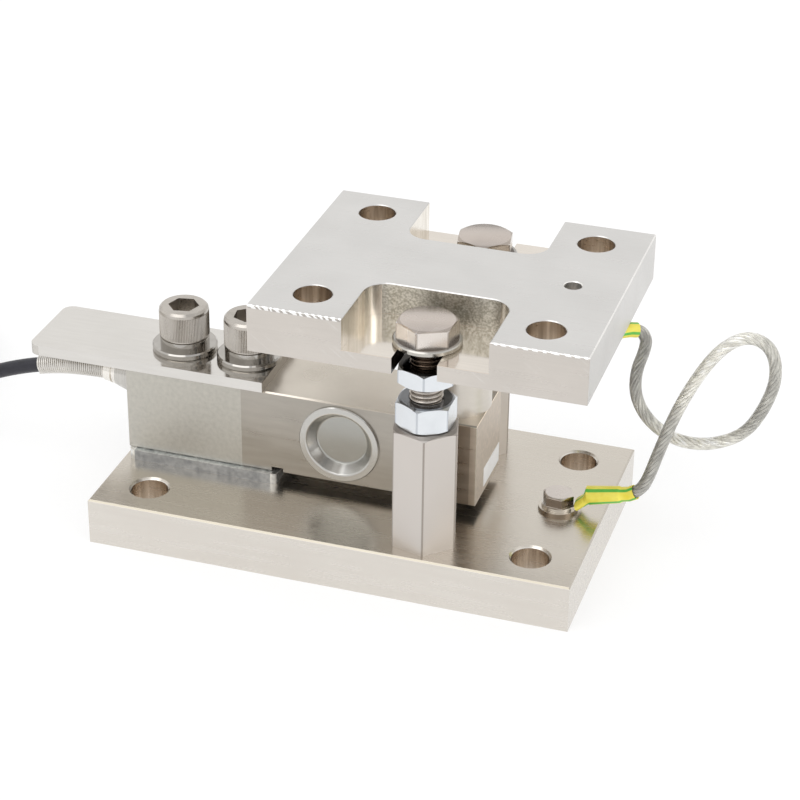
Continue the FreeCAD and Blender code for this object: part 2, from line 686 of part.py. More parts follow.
def make_strain_gauge(side):
    """The bonded foil gauge on one face of the web, under its cover coat."""
    name = f"strain_gauge_{side}"
    gauge = doc.addObject("Part::Box", name)
    bind(gauge, "Length", d.gauge_pad_length)
    bind(gauge, "Width", d.gauge_pad_thick)
    bind(gauge, "Height", d.gauge_pad_height)
    y = -d.gauge_web / 2 - d.gauge_pad_thick if side == "front" else d.gauge_web / 2
    put(gauge, d.gauge_x - d.gauge_pad_length / 2, y, cell_z + d.cell_height / 2 - d.gauge_pad_height / 2)
    return keep(gauge, name)


def make_end_label():
    """The bare label stuck on the load end's face."""
    label = doc.addObject("Part::Box", "end_label")
    bind(label, "Length", d.label_thick)
    bind(label, "Width", d.label_width)
    bind(label, "Height", d.label_height)
    put(label, d.cell_left + d.cell_length, d.label_y, d.label_z)
    return keep(label, "end_label")


# Mounting screws
def make_mounting_screws():
    """M12 socket head screws with flat and spring washers, through the guard, the cell and the spacer."""
    screws, springs, flats = [], [], []
    for index, half in enumerate((-0.5, 0.5)):
        x = d.screw_mid_x + d.screw_pitch * half
        flats.append(put(washer_body(f"flat_washer_{index}", d.washer_thick), x, 0, guard_top))
        springs.append(put(spring_washer(f"spring_washer_{index}"), x, 0, guard_top + d.washer_thick))
        head_z = guard_top + d.washer_thick + d.spring_washer_thick
        screw = socket_screw(f"socket_screw_{index}")
        screws.append(put(screw, x, 0, head_z, about_z(SOCKET_TURNS[index])))
    keep_group("mounting_flat_washers", flats)
    keep_group("mounting_spring_washers", springs)
    keep_group("mounting_screws", screws)


def spring_washer(name):
    """A spring washer pulled flat, with its slanting split."""
    body = ring_body(name, d.spring_washer_outer, d.spring_washer_inner, d.spring_washer_thick)
    split = new_sketch(body, "YZ_Plane", f"{name}_split")
    gap = d.spring_washer_split
    high = d.spring_washer_thick
    draw_outline(split, [(-gap, 0), (0, 0), (gap, high), (0, high)])
    pocket(body, split)
    return body


def socket_screw(name):
    """A socket head screw that stands on the underside of its head."""
    head = d.screw_head / 2
    high = d.screw_head_height
    low = -d.screw_length
    shank = d.thread / 2
    chamfer = d.turned_chamfer
    profile = [
        (0, high), (head - chamfer, high), (head, high - chamfer), (head, chamfer / 2),
        (head - chamfer / 2, 0), (shank, 0), (shank, low + chamfer), (shank - chamfer, low), (0, low),
    ]
    body = turned_body(name, profile)
    socket = new_sketch(body, "XY_Plane", f"{name}_socket", d.screw_head_height)
    draw_hexagon(socket, d.socket_across)
    pocket(body, socket, d.socket_depth)
    return body


# Load introduction
def cut_dish(body, name, centre_z):
    """A spherical dish on the axis of a turned piece."""
    dish = body.newObject("PartDesign::SubtractiveSphere", name)
    bind(dish, "Radius", d.dish_radius)
    put(dish, 0, 0, centre_z)


def make_load_seat():
    """The seat whose spigot sits in the cell's load bore and whose collar carries the ball."""
    spigot = (d.load_bore - d.bore_play) / 2
    collar = d.seat_collar / 2
    chamfer = d.turned_chamfer
    low = -d.seat_spigot
    high = d.seat_height
    profile = [
        (0, low), (spigot - chamfer, low), (spigot, low + chamfer), (spigot, 0), (collar, 0),
        (collar, high - chamfer), (collar - chamfer, high), (0, high),
    ]
    seat = turned_body("load_seat", profile)
    cut_dish(seat, "load_seat_dish", d.seat_height - d.dish_depth + d.dish_radius)
    put(seat, d.load_x, 0, cell_top)
    return keep(seat, "load_seat")


def make_load_ball():
    """The hardened ball that lets the top plate tilt and shift a little without side load on the cell."""
    sphere = doc.addObject("Part::Sphere", "load_ball")
    bind(sphere, "Radius", ball / 2)
    put(sphere, d.load_x, 0, cell_top + d.seat_height - d.dish_depth + ball / 2)
    return keep(sphere, "load_ball")


def make_upper_cup():
    """The cup that hangs from the top plate over the ball."""
    spigot = (d.load_bore - d.bore_play) / 2
    collar = d.seat_collar / 2
    chamfer = d.turned_chamfer
    height = d.upper_cup_height
    profile = [
        (0, 0), (collar - chamfer, 0), (collar, chamfer), (collar, height), (spigot, height),
        (spigot, height + d.upper_cup_spigot - chamfer), (spigot - chamfer, height + d.upper_cup_spigot),
        (0, height + d.upper_cup_spigot),
    ]
    cup = turned_body("upper_cup", profile)
    cut_dish(cup, "upper_cup_dish", d.dish_depth - d.dish_radius)
    put(cup, d.load_x, 0, top_z - height)
    return keep(cup, "upper_cup")


# Hold-down bolts
def make_hold_downs():
    """On each side a standoff, a bolt screwed down into it, a lock nut, a thin nut and a washer."""
    bolts, washers, jack_nuts, lock_nuts, standoffs = [], [], [], [], []
    for index, side in enumerate((-0.5, 0.5)):
        y = d.hold_span * side
        standoffs.append(put(hex_standoff(f"standoff_{index}"), d.load_x, y, d.base_thick,
                             about_z(STANDOFF_TURNS[index])))
        lock_nut = hex_nut(f"lock_nut_{index}", d.hex_across, d.lock_nut_height)
        lock_nuts.append(put(lock_nut, d.load_x, y, d.base_thick + d.standoff_height,
                             about_z(LOCK_NUT_TURNS[index])))
        jack_nut = hex_nut(f"jack_nut_{index}", d.hex_across, d.jack_nut_height)
        jack_nuts.append(put(jack_nut, d.load_x, y, top_z - d.jack_nut_gap - d.jack_nut_height,
                             about_z(JACK_NUT_TURNS[index])))
        washers.append(put(washer_body(f"hold_washer_{index}", d.hold_washer_thick), d.load_x, y, ledge_z))
        bolt = hex_screw(f"hold_bolt_{index}", d.hex_across, d.bolt_head_height, d.thread, d.bolt_length)
        bolts.append(put(bolt, d.load_x, y, ledge_z + d.hold_washer_thick, about_z(BOLT_TURNS[index])))
    keep_group("hex_standoffs", standoffs)
    keep_group("lock_nuts", lock_nuts)
    keep_group("jack_nuts", jack_nuts)
    keep_group("hold_down_washers", washers)
    keep_group("hold_down_bolts", bolts)


def hex_standoff(name):
    """A hex pillar with a spigot below and a threaded bore above."""
    body = hex_body(name, d.standoff_across, d.standoff_height)
    break_hex_corners(body, name, d.standoff_across, d.standoff_height, True)
    spigot = new_sketch(body, "XY_Plane", f"{name}_spigot")
    draw_circle(spigot, d.standoff_spigot)
    pad(body, spigot, d.standoff_spigot_length, down=True)
    bore = new_sketch(body, "XY_Plane", f"{name}_bore", d.standoff_height)
    draw_circle(bore, d.thread + d.thread_room)
    pocket(body, bore, d.standoff_bore)
    return body


# Cable
def make_cable_gland():
    """The turned gland in the cell's end: flange, cone, crimp groove and ferrule, with the cable's bore."""
    bore = (d.cable + d.cable_play) / 2
    cone = d.gland_flange_thick
    groove = cone + d.gland_cone_length
    sleeve = groove + d.gland_groove_width
    edge = d.turned_chamfer / 2
    spigot = d.gland_spigot / 2
    profile = [
        (bore, -d.gland_spigot_length), (spigot, -d.gland_spigot_length), (spigot, 0),
        (d.gland_flange / 2, 0), (d.gland_flange / 2, cone), (d.gland_neck / 2, groove),
        (d.gland_groove / 2, groove), (d.gland_groove / 2, sleeve), (d.gland_neck / 2, sleeve),
        (d.ferrule / 2, gland_length - edge), (d.ferrule / 2 - edge, gland_length), (bore, gland_length),
    ]
    gland = turned_body("cable_gland", profile)
    put(gland, d.cell_left, 0, d.gland_z, Rotation(Vector(0, 1, 0), -90))
    return keep(gland, "cable_gland")


def route_edges(route):
    """A cord's line: straight runs joined by tangent arcs, each as large as its two runs allow."""
    points = [Vector(*p) for p in route]
    edges, radii = [], []
    start = points[0]
    for before, corner, after in zip(points, points[1:], points[2:]):
        arriving = (corner - before).normalize()
        leaving = (after - corner).normalize()
        half_turn = arriving.getAngle(leaving) / 2
        cut = ARC_SHARE * min((corner - before).Length, (after - corner).Length)
        radius = cut / math.tan(half_turn)
        inward = (leaving - arriving).normalize()
        arc_start = corner - arriving * cut
        arc_middle = corner + inward * (radius / math.cos(half_turn) - radius)
        arc_end = corner + leaving * cut
        edges.append(Part.LineSegment(start, arc_start).toShape())
        edges.append(Part.Arc(arc_start, arc_middle, arc_end).toShape())
        radii.append(round(radius, 1))
        start = arc_end
    edges.append(Part.LineSegment(start, points[-1]).toShape())
    return edges, radii


def make_cord(label, route, diameter):
    """The plain tube of a cord along its route."""
    edges, radii = route_edges(route)
    length = sum(edge.Length for edge in edges)
    first_run = Vector(*route[1]) - Vector(*route[0])
    section = Part.Wire(Part.makeCircle(number(diameter) / 2, Vector(*route[0]), first_run))
    tube = doc.addObject("Part::Feature", label)
    tube.Shape = Part.Wire(edges).makePipeShell([section], True, False)
    expected = math.pi * (number(diameter) / 2) ** 2 * length
    print(f"{label}: {length:.1f} mm long, bend radii {radii}")
    print(f"{label}: volume {tube.Shape.Volume / expected:.4f} of section times length")
    return keep(tube, label)


def point_along(edges, distance):
    """The point and the direction a distance along a cord's line."""
    for edge in edges:
        if distance <= edge.Length:
            parameter = edge.getParameterByLength(distance)
            return edge.valueAt(parameter), edge.tangentAt(parameter)
        distance -= edge.Length
    raise ValueError("the line is shorter than that")


def make_relief_spring():
    """The close-wound spring over the cable: its outside is a row of grooves, one for each turn."""
    edges, _ = route_edges(CABLE_ROUTE)
    start = number(d.cell_left) - number(gland_length)
    first = CABLE_ROUTE[0][0] - start
    turns = round(number(d.relief_spring_length))
    outer, inner = [], []
    for step in range(2 * turns + 1):
        place, direction = point_along(edges, first + number(d.relief_spring_length) * step / (2 * turns))
        diameter = d.relief_spring if step % 2 else d.relief_spring_root
        outer.append(Part.Wire(Part.makeCircle(number(diameter) / 2, place, direction)))
        if step % turns == 0:
            inner.append(Part.Wire(Part.makeCircle(number(d.cable + d.cable_play) / 2, place, direction)))
    spring = doc.addObject("Part::Feature", "strain_relief_spring")
    spring.Shape = Part.makeLoft(outer, True, True).cut(Part.makeLoft(inner, True, False))
    return keep(spring, "strain_relief_spring")


def make_cable_coil():
    """The outer shape of the put-away coil, four turns wide and four high, with its lead and its tail."""
    ring = put(turned_body("coil_ring", coil_section(0)), d.coil_x, d.coil_y, coil_z)
    outermost = d.coil_radius + d.cable * 1.5
    lead = coil_end("coil_lead", outermost, d.cable * 3.5, d.coil_lead, COIL_IN_TURN, 90)
    tail = coil_end("coil_tail", outermost, d.cable / 2, d.coil_tail, COIL_OUT_TURN, -90)
    coil = doc.addObject("Part::MultiFuse", "signal_cable_coil")
    coil.Shapes = [ring, lead, tail]
    return keep(coil, "signal_cable_coil")


def coil_section(away):
    """The outline round the coil's sixteen turns, or a distance away from it, from the coil's axis."""
    inner = d.coil_radius - d.cable * 2 - away
    outer = d.coil_radius + d.cable * 2 + away
    high = d.cable * 4 + away
    low = -high + d.cable * 4
    corner = d.coil_corner
    return [
        (inner + corner, low), (outer - corner, low), (outer, low + corner), (outer, high - corner),
        (outer - corner, high), (inner + corner, high), (inner, high - corner), (inner, low + corner),
    ]


def coil_end(name, radius, height, length, turn, along):
    """A straight stretch of cable that touches a turn of the coil at an angle round it."""
    end = doc.addObject("Part::Cylinder", name)
    bind(end, "Radius", d.cable / 2 - d.coil_end_inset)
    bind(end, "Height", length)
    angle = math.radians(turn)
    level = about_z(turn + along) * Rotation(Vector(0, 1, 0), 90)
    x = d.coil_x + radius * math.cos(angle)
    y = d.coil_y + radius * math.sin(angle)
    return put(end, x, y, coil_z + height, level)


def make_coil_ties():
    """Two straps round the coil's bundle of turns."""
    ties = []
    for index, turn in enumerate(TIE_TURNS):
        name = f"coil_tie_{index}"
        body = new_body(name)
        sketch = new_sketch(body, "XZ_Plane", f"{name}_loop")
        draw_outline(sketch, coil_section(d.tie_play))
        draw_outline(sketch, coil_section(d.tie_play + d.tie_thick))
        pad(body, sketch, d.tie_width, both_ways=True)
        ties.append(put(body, d.coil_x, d.coil_y, coil_z, about_z(turn)))
    keep_group("coil_ties", ties)


def make_cable_cores():
    """The insulated core ends that leave the sheath at the cable's free end."""
    angle = math.radians(COIL_OUT_TURN)
    radius = d.coil_radius + d.cable * 1.5
    heading = COIL_OUT_TURN - 90
    tail_x = (d.coil_tail + d.core_gap) * math.cos(math.radians(heading))
    tail_y = (d.coil_tail + d.core_gap) * math.sin(math.radians(heading))
    cores = []
    for index, fan in enumerate(CORE_FANS):
        core = doc.addObject("Part::Cylinder", f"cable_core_{index}")
        bind(core, "Radius", d.core / 2)
        bind(core, "Height", d.core_length)
        offset = d.core * (0.55 * (2 * index - len(CORE_FANS) + 1))
        across = math.radians(heading + 90)
        x = d.coil_x + radius * math.cos(angle) + tail_x + offset * math.cos(across)
        y = d.coil_y + radius * math.sin(angle) + tail_y + offset * math.sin(across)
        lay = about_z(heading + fan) * Rotation(Vector(0, 1, 0), 90 + CORE_DROOP)
        cores.append(put(core, x, y, coil_z + d.cable / 2, lay))
    keep_group("cable_cores", cores)


# Ground strap
def make_ground_screws():
    """M6 hex screws, each over a lug and a washer: down into the base plate, up into the top plate."""
    thick = d.ground_washer_thick
    places = (("base", d.ground_base_x, d.base_thick, 1), ("top", d.ground_top_x, top_z, -1))
    for place, x, z, upward in places:
        over = Rotation() if upward > 0 else Rotation(Vector(1, 0, 0), 180)
        screw = hex_screw(f"ground_screw_{place}", d.ground_hex, d.ground_head_height, d.ground_thread,
                          d.ground_screw_length)
        put(screw, x, 0, z + (d.lug_thick + thick) * upward, about_z(GROUND_HEAD_TURN) * over)
        washer = ring_body(f"ground_washer_{place}", d.ground_washer_outer, d.lug_hole, thick)
        put(washer, x, 0, z, over)
        keep(screw, f"ground_screw_{place}")
        keep(washer, f"ground_washer_{place}")


def make_ground_lug(place, x, z, bend, rotation):
    """A ring lug bent off its plate: ring, tongue and crimped barrel."""
    name = f"ground_lug_{place}"
    body = ring_body(name, d.lug_ring, d.lug_hole, d.lug_thick)
    half = d.lug_thick / 2
    tongue = new_sketch(body, "XZ_Plane", f"{name}_tongue")
    draw_outline(tongue, [
        (d.lug_bend - half, 0), (d.lug_bend + half, 0), (d.lug_thick + bend.start_x, -half + bend.start_z),
        (half + bend.start_x, half + bend.start_z), (d.lug_bend, d.lug_thick),
        (d.lug_bend - half, d.lug_thick),
    ])
    pad(body, tongue, d.lug_tongue, both_ways=True)
    barrel = body.newObject("PartDesign::AdditiveCylinder", f"{name}_barrel")
    run = bend.end_x - bend.start_x
    rise = bend.end_z - bend.start_z
    bind(barrel, "Radius", d.lug_barrel / 2)
    barrel.Height = math.hypot(run, rise)
    slope = math.degrees(math.atan2(rise, run))
    put(barrel, bend.start_x, 0, bend.start_z, Rotation(Vector(0, 1, 0), 90 - slope))
    put(body, x, 0, z, rotation)
    return keep(body, name)


def make_ground_sleeve(place, lug, bend, strap_route):
    """Heat-shrink sleeve: flat on the lug's tongue, round on its barrel and tight on the strap."""
    wall = number(d.sleeve_wall)
    barrel = (number(d.lug_barrel + d.sleeve_play) / 2 + wall,) * 2
    strap = (number(d.strap + d.sleeve_play) / 2 + wall,) * 2
    shoulder = (barrel[0] + bend.shoulder,) * 2
    flat = (number(d.sleeve_flat_width) / 2, number(d.sleeve_flat_height) / 2)
    waist = (number(d.sleeve_waist_width) / 2, number(d.sleeve_waist_height) / 2)
    tongue_foot = Vector(number(d.lug_bend + d.lug_thick / 4), 0, number(d.lug_thick / 2))
    tongue_head = Vector(bend.start_x + number(d.lug_thick) * 3 / 4, 0, bend.start_z)
    tongue = tongue_head - tongue_foot
    on_lug = [
        (tongue_foot + tongue * bend.sleeve_start, flat),
        (tongue_foot + tongue * TONGUE_WAIST, waist),
        (Vector(bend.start_x - bend.shoulder, 0, bend.start_z - bend.shoulder / 2), shoulder),
        (Vector(bend.end_x + bend.shoulder, 0, bend.end_z), barrel),
    ]
    stations = [(lug.Placement.multVec(middle), halves) for middle, halves in on_lug]
    edges, _ = route_edges(strap_route)
    for share in SLEEVE_STRAP_SHARES:
        stations.append((point_along(edges, bend.sleeve_reach * share)[0], strap))
    sideways = lug.Placement.Rotation.multVec(Vector(0, 1, 0))
    outside = sleeve_skin(stations, sideways, 0)
    inside = sleeve_skin(stations, sideways, wall)
    sleeve = doc.addObject("Part::Feature", f"ground_sleeve_{place}")
    sleeve.Shape = outside.cut(inside)
    return keep(sleeve, f"ground_sleeve_{place}")


def sleeve_skin(stations, sideways, inset):
    """A loft through oval sections across the line of their middles."""
    rings = []
    middles = [middle for middle, halves in stations]
    for i, (middle, (half_width, half_height)) in enumerate(stations):
        along = middles[min(i + 1, len(middles) - 1)] - middles[max(i - 1, 0)]
        upward = along.cross(sideways).normalize()
        wide = middle + upward.cross(along).normalize() * (half_width - inset + ROUND_ALLOWANCE)
        high = middle + upward * (half_height - inset)
        rings.append(Part.Wire(Part.Ellipse(wide, high, middle).toShape()))
    return Part.makeLoft(rings, True, True)


def make_ground():
    make_ground_screws()
    washer = d.ground_washer_thick
    base_lug = make_ground_lug("base", d.ground_base_x, d.base_thick + washer, BASE_LUG, Rotation())
    underside = about_z(TOP_LUG_TURN) * Rotation(Vector(1, 0, 0), 180)
    top_lug = make_ground_lug("top", d.ground_top_x, top_z - washer, TOP_LUG, underside)
    make_ground_sleeve("base", base_lug, BASE_LUG, STRAP_ROUTE[::-1])
    make_ground_sleeve("top", top_lug, TOP_LUG, STRAP_ROUTE)
    make_cord("ground_strap", STRAP_ROUTE, d.strap)


def check_document():
    """Stops if any object failed, any cut missed its solid or any sub-part isn't sound."""
    doc.recompute()
    for item in doc.Objects:
        if "Invalid" in item.State or "Error" in item.State:
            raise RuntimeError(f"{item.Name} failed: {item.State}")
        if item.TypeId in ("PartDesign::Pocket", "PartDesign::Groove"):
            if item.BaseFeature.Shape.Volume - item.Shape.Volume < EDGE_TOLERANCE:
                raise RuntimeError(f"{item.Name} cuts nothing")
    for piece in parts:
        if piece.Shape.isNull() or not piece.Shape.isValid() or not piece.Shape.Solids:
            raise RuntimeError(f"{piece.Label} isn't a sound solid")


def write_parts():
    os.makedirs("parts", exist_ok=True)
    for piece in parts:
        piece.Shape.exportStep(f"parts/{piece.Label}.step")
    print(f"{len(parts)} sub-parts, {sum(len(p.Shape.Solids) for p in parts)} solids")


make_base_plate()
make_spacer_plate()
make_load_cell()
for cell_side, cell_turn in CELL_SIDES.items():
    make_gauge_cup(cell_side, cell_turn)
    make_strain_gauge(cell_side)
make_end_label()
make_guard_plate()
make_mounting_screws()
make_load_seat()
make_load_ball()
make_upper_cup()
make_top_plate()
make_hold_downs()
make_cable_gland()
make_relief_spring()
make_cord("signal_cable", CABLE_ROUTE, d.cable)
make_cable_coil()
make_coil_ties()
make_cable_cores()
make_ground()
check_document()
write_parts()
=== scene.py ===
# %% [markdown]
# # A tank weighing module, dressed for its portrait
# The real thing stands under the foot of a tank: a steel beam that bends a little under load, clamped
# between two nickel plated plates. Its rigid pieces come from the CAD frame with their true shapes, so this
# lesson loads them first, keeps their box, and then gives each piece its finish. What CAD leaves plain is
# made here: the two cords, the winding of the spring, the screw threads, the knurls and the stripes of the
# sleeves.

# %% Load the frame
import math

import bmesh
import bpy
from mathutils import Matrix, Vector
from mathutils.geometry import intersect_point_line


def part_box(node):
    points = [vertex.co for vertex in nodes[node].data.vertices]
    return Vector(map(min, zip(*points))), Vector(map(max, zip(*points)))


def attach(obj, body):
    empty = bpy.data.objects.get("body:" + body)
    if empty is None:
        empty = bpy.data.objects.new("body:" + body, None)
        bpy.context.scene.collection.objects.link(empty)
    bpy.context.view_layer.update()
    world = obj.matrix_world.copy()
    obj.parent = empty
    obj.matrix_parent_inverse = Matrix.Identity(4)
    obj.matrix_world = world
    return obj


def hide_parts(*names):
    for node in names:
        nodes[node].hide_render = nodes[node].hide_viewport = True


MM = 0.001
UP = Vector((0, 0, 1))
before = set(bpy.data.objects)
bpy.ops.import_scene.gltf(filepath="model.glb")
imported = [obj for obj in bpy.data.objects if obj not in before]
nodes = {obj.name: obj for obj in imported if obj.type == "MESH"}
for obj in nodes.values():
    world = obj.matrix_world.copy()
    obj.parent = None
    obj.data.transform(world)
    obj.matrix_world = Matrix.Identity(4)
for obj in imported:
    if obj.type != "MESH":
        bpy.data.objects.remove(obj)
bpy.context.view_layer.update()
scene = bpy.context.scene

# %% [markdown]
# ## The camera
# The photograph was taken from a little to the right and about thirty degrees above, with a long lens, as
# the gentle perspective of the plates shows. A camera can be aimed with a constraint, but three plain turns
# (about the vertical, down from the horizon, and a small roll) keep the whole placement readable in one
# line.

# %% Camera
CAMERA_EYE = Vector((234.22, -705.79, 463.7)) * MM
CAMERA_TURN = math.radians(17.437)
CAMERA_DOWN = math.radians(29.125)
CAMERA_ROLL = math.radians(0.7245)
CAMERA_LENS = 105.345


def new_object(name, data):
    """A new object in the scene, at the origin."""
    made = bpy.data.objects.new(name, data)
    scene.collection.objects.link(made)
    return made


camera = new_object("photo_camera", bpy.data.cameras.new("photo_camera"))
camera.data.lens = CAMERA_LENS
aim = Matrix.Rotation(CAMERA_TURN, 4, "Z") @ Matrix.Rotation(math.pi / 2 - CAMERA_DOWN, 4, "X")
camera.matrix_world = Matrix.Translation(CAMERA_EYE) @ aim @ Matrix.Rotation(CAMERA_ROLL, 4, "Z")
scene.camera = camera
print(f"camera {CAMERA_EYE.length:.2f} m from the origin, {CAMERA_LENS} mm lens")

# %% [markdown]
# ## One helper for every node tree
# Materials, the sky and the geometry trees below are all node trees. Adding a node by hand takes three
# steps: make it, set its options, and fill or link its inputs. This helper does the three in one call and
# hands over an output for the next node. An input that is given as an output becomes a link, anything else
# a plain value.


# %% Node helper
def fill(socket, value):
    """Set a socket's own value. A colour is given without its opacity."""
    socket.default_value = (*value, 1.0) if socket.type == "RGBA" else value


def place(tree, kind, inputs=None, out=0, **settings):
    """Add a node to a tree with its settings and inputs, and return one of its outputs."""
    node = tree.nodes.new(kind)
    for name, value in settings.items():
        setattr(node, name, value)
    for name, value in (inputs or {}).items():
        if isinstance(value, bpy.types.NodeSocket):
            tree.links.new(value, node.inputs[name])
        else:
            fill(node.inputs[name], value)
    return node.outputs[out] if node.outputs else None


def calc(tree, operation, *values):
    """A Math node as one line: its result."""
    return place(tree, "ShaderNodeMath", dict(enumerate(values)), operation=operation)


def ramp(tree, factor, stops, interpolation="LINEAR"):
    """A colour from a rising list of places between 0 and 1 with their colours."""
    colour = place(tree, "ShaderNodeValToRGB", {"Fac": factor})
    band = colour.node.color_ramp
    band.interpolation = interpolation
    for position, _ in stops[2:]:
        band.elements.new(position)
    for element, (position, shade) in zip(band.elements, stops):
        element.position = position
        element.color = (*shade, 1.0)
    return colour


def split(tree, vector):
    """The X, Y and Z of a vector."""
    return place(tree, "ShaderNodeSeparateXYZ", {"Vector": vector}).node.outputs


print("node helpers ready")

# %% [markdown]
# ## A bright tent of light
# Shiny metal shows its surroundings more than its own colour. Product photographers put it in a white tent,
# so that every face mirrors something pale. The sky here is that tent: it is brightest a third of the way
# up, at the height that level tops mirror to the camera, and dimmer and warmer low down. A large soft lamp
# from the front left is what the broken edges mirror, so they shine as thin lines. A smaller one lights the
# right ends.

# %% Sky and lamps
TENT_MIRRORED = (1.04, 1.035, 1.025)
TENT = ((0.45, (0.66, 0.65, 0.635)), (0.68, TENT_MIRRORED), (0.8, TENT_MIRRORED), (0.97, (0.84, 0.85, 0.87)))
LAMP_TARGET = Vector((0.0, 0.0, 0.06))


def make_tent():
    """The white tent as a sky that changes with height."""
    world = bpy.data.worlds.new("white_tent")
    world.use_nodes = True
    tree = world.node_tree
    heading = place(tree, "ShaderNodeTexCoord", out="Generated")
    up = {"Value": split(tree, heading)["Z"], "From Min": -1.0, "From Max": 1.0}
    height = place(tree, "ShaderNodeMapRange", up)
    tree.links.new(ramp(tree, height, TENT), tree.nodes["Background"].inputs["Color"])
    scene.world = world


def make_lamp(name, stand, size, power):
    """A square soft lamp on a stand, aimed at the module."""
    lamp = new_object(name, bpy.data.lights.new(name, "AREA"))
    lamp.data.size = size
    lamp.data.energy = power
    lamp.location = stand
    lamp.rotation_euler = (LAMP_TARGET - stand).to_track_quat("-Z", "Y").to_euler()


make_tent()
make_lamp("edge_lamp", stand=Vector((-0.34, -0.64, 1.14)), size=0.9, power=3.4)
make_lamp("end_lamp", stand=Vector((1.2, -0.3, 0.5)), size=0.6, power=2.0)
scene.view_settings.view_transform = "Standard"
print(f"{len(bpy.data.lights)} lamps in a white tent")

# %% [markdown]
# ## The floor
# The object stands on plain white paper that runs on past the picture's edge. It glows a little, as
# overexposed paper does in a photograph, so that only a soft shadow stays under the edges of the base
# plate.

# %% Floor
FLOOR_HALF = 4.0
WHITE_PAPER = {
    "Base Color": (0.40, 0.40, 0.399), "Roughness": 0.7,
    "Emission Color": (1.0, 1.0, 1.0), "Emission Strength": 0.6,
}


def new_finish(name, constants=None):
    """A material with one Principled shader, which holds the constants, and the material's tree."""
    material = bpy.data.materials.new(name)
    material.use_nodes = True
    for socket, value in (constants or {}).items():
        fill(material.node_tree.nodes["Principled BSDF"].inputs[socket], value)
    return material, material.node_tree


def make_floor():
    """A wide sheet of white paper under the base plate."""
    corners = [(-1, -1), (1, -1), (1, 1), (-1, 1)]
    mesh = bpy.data.meshes.new("paper_floor")
    mesh.from_pydata([(x * FLOOR_HALF, y * FLOOR_HALF, 0.0) for x, y in corners], [], [(0, 1, 2, 3)])
    mesh.materials.append(new_finish("white_paper", WHITE_PAPER)[0])
    floor = new_object("paper_floor", mesh)


make_floor()
print(f"floor {2 * FLOOR_HALF:.0f} m wide")

# %% [markdown]
# ## Finishes are built from a few patterns
# A finish that is one flat colour looks like plastic. Real plated steel has streaks from grinding, faint
# clouds in the plating and tiny changes of gloss. Each pattern below is a noise in Object coordinates,
# which for these pieces are true sizes on the object, so a streak has the same size on every piece. The
# size of its waves is given in millimetres along X, Y and Z: a large size along one axis draws the noise
# out into streaks that way.


# %% Pattern helpers
def on_piece(tree):
    """Where a point lies on its piece."""
    return place(tree, "ShaderNodeTexCoord", out="Object")


def noise(tree, waves, detail=3.0, lean=0.0):
    """Noise with waves of one size in millimetres, or of one for each axis. It may lean about Y."""
    sizes = Vector(waves if isinstance(waves, tuple) else (waves, waves, waves)) * MM
    turned = {"Vector": on_piece(tree), "Rotation": (0.0, lean, 0.0), "Scale": sizes}
    laid = place(tree, "ShaderNodeMapping", turned, vector_type="TEXTURE")
    return place(tree, "ShaderNodeTexNoise", {"Vector": laid, "Scale": 1.0, "Detail": detail})


def fit(tree, value, low=0.0, high=1.0, start=0.3, end=0.7):
    """Stretch a pattern's middle values over a new range."""
    limits = {"Value": value, "From Min": start, "From Max": end, "To Min": low, "To Max": high}
    return place(tree, "ShaderNodeMapRange", limits)


def between(tree, factor, first, second):
    """A number between two others."""
    return place(tree, "ShaderNodeMix", {0: factor, 2: first, 3: second}, data_type="FLOAT")


def tint(tree, factor, first, second, blend="MIX"):
    """A colour between two others."""
    colours = {0: factor, 6: first, 7: second}
    return place(tree, "ShaderNodeMix", colours, out=2, data_type="RGBA", blend_type=blend)


def dye(tree, share, colour, shade):
    """Multiply a colour by a shade where the share is 1."""
    return tint(tree, share, colour, shade, "MULTIPLY")


def graded(tree, pattern, dark, light):
    """A colour between two others, by a pattern."""
    return tint(tree, fit(tree, pattern), dark, light)


def end_finish(material, colour, roughness, height=None, depth=0.0):
    """Lead a colour, a roughness and a relief with a depth in metres to a material's shader."""
    tree = material.node_tree
    ends = {"Base Color": colour, "Roughness": roughness}
    if depth:
        ends["Normal"] = place(tree, "ShaderNodeBump", {"Height": height, "Distance": depth})
    for name, output in ends.items():
        if output is not None:
            tree.links.new(output, tree.nodes["Principled BSDF"].inputs[name])
    return material


print("pattern helpers ready")

# %% [markdown]
# ## Finishes that change with the place
# One piece can have several finishes: a drilled hole is browner than the plate round it. Some of the
# changes are painted light: the corner lines of a hexagon get painted shade, and some edges and ends get
# painted highlights. Separate pieces would be one way to paint them. Here a finish asks where a point lies,
# in millimetres, and a helper answers with 1 inside the limits and 0 outside them. Holes and hexagons stand
# in rows to both sides of the middle, so a limit can also be a radius about such a set of upright axes.


# %% Place helpers
def inside(tree, axes=(0.0, 0.0, 0.0), **limits):
    """1 within limits in millimetres and 0 outside: along an axis, from the middle plane, or a radius.

    The radius is about upright axes: their centre along x, their spread from it and from the middle plane.
    """
    x, y, z = split(tree, on_piece(tree))
    lengths = {"x": x, "y": y, "z": z, "away": calc(tree, "ABSOLUTE", y)}
    if "radius" in limits:
        centre, spread, aside = (length * MM for length in axes)
        off_centre = calc(tree, "ABSOLUTE", calc(tree, "SUBTRACT", x, centre))
        across = calc(tree, "SUBTRACT", off_centre, spread)
        beside = calc(tree, "SUBTRACT", lengths["away"], aside)
        squares = [calc(tree, "MULTIPLY", length, length) for length in (across, beside)]
        lengths["radius"] = calc(tree, "SQRT", calc(tree, "ADD", *squares))
    share = 1.0
    for name, (low, high) in limits.items():
        above = calc(tree, "GREATER_THAN", lengths[name], low * MM)
        below = calc(tree, "LESS_THAN", lengths[name], high * MM)
        share = calc(tree, "MULTIPLY", share, calc(tree, "MULTIPLY", above, below))
    return share


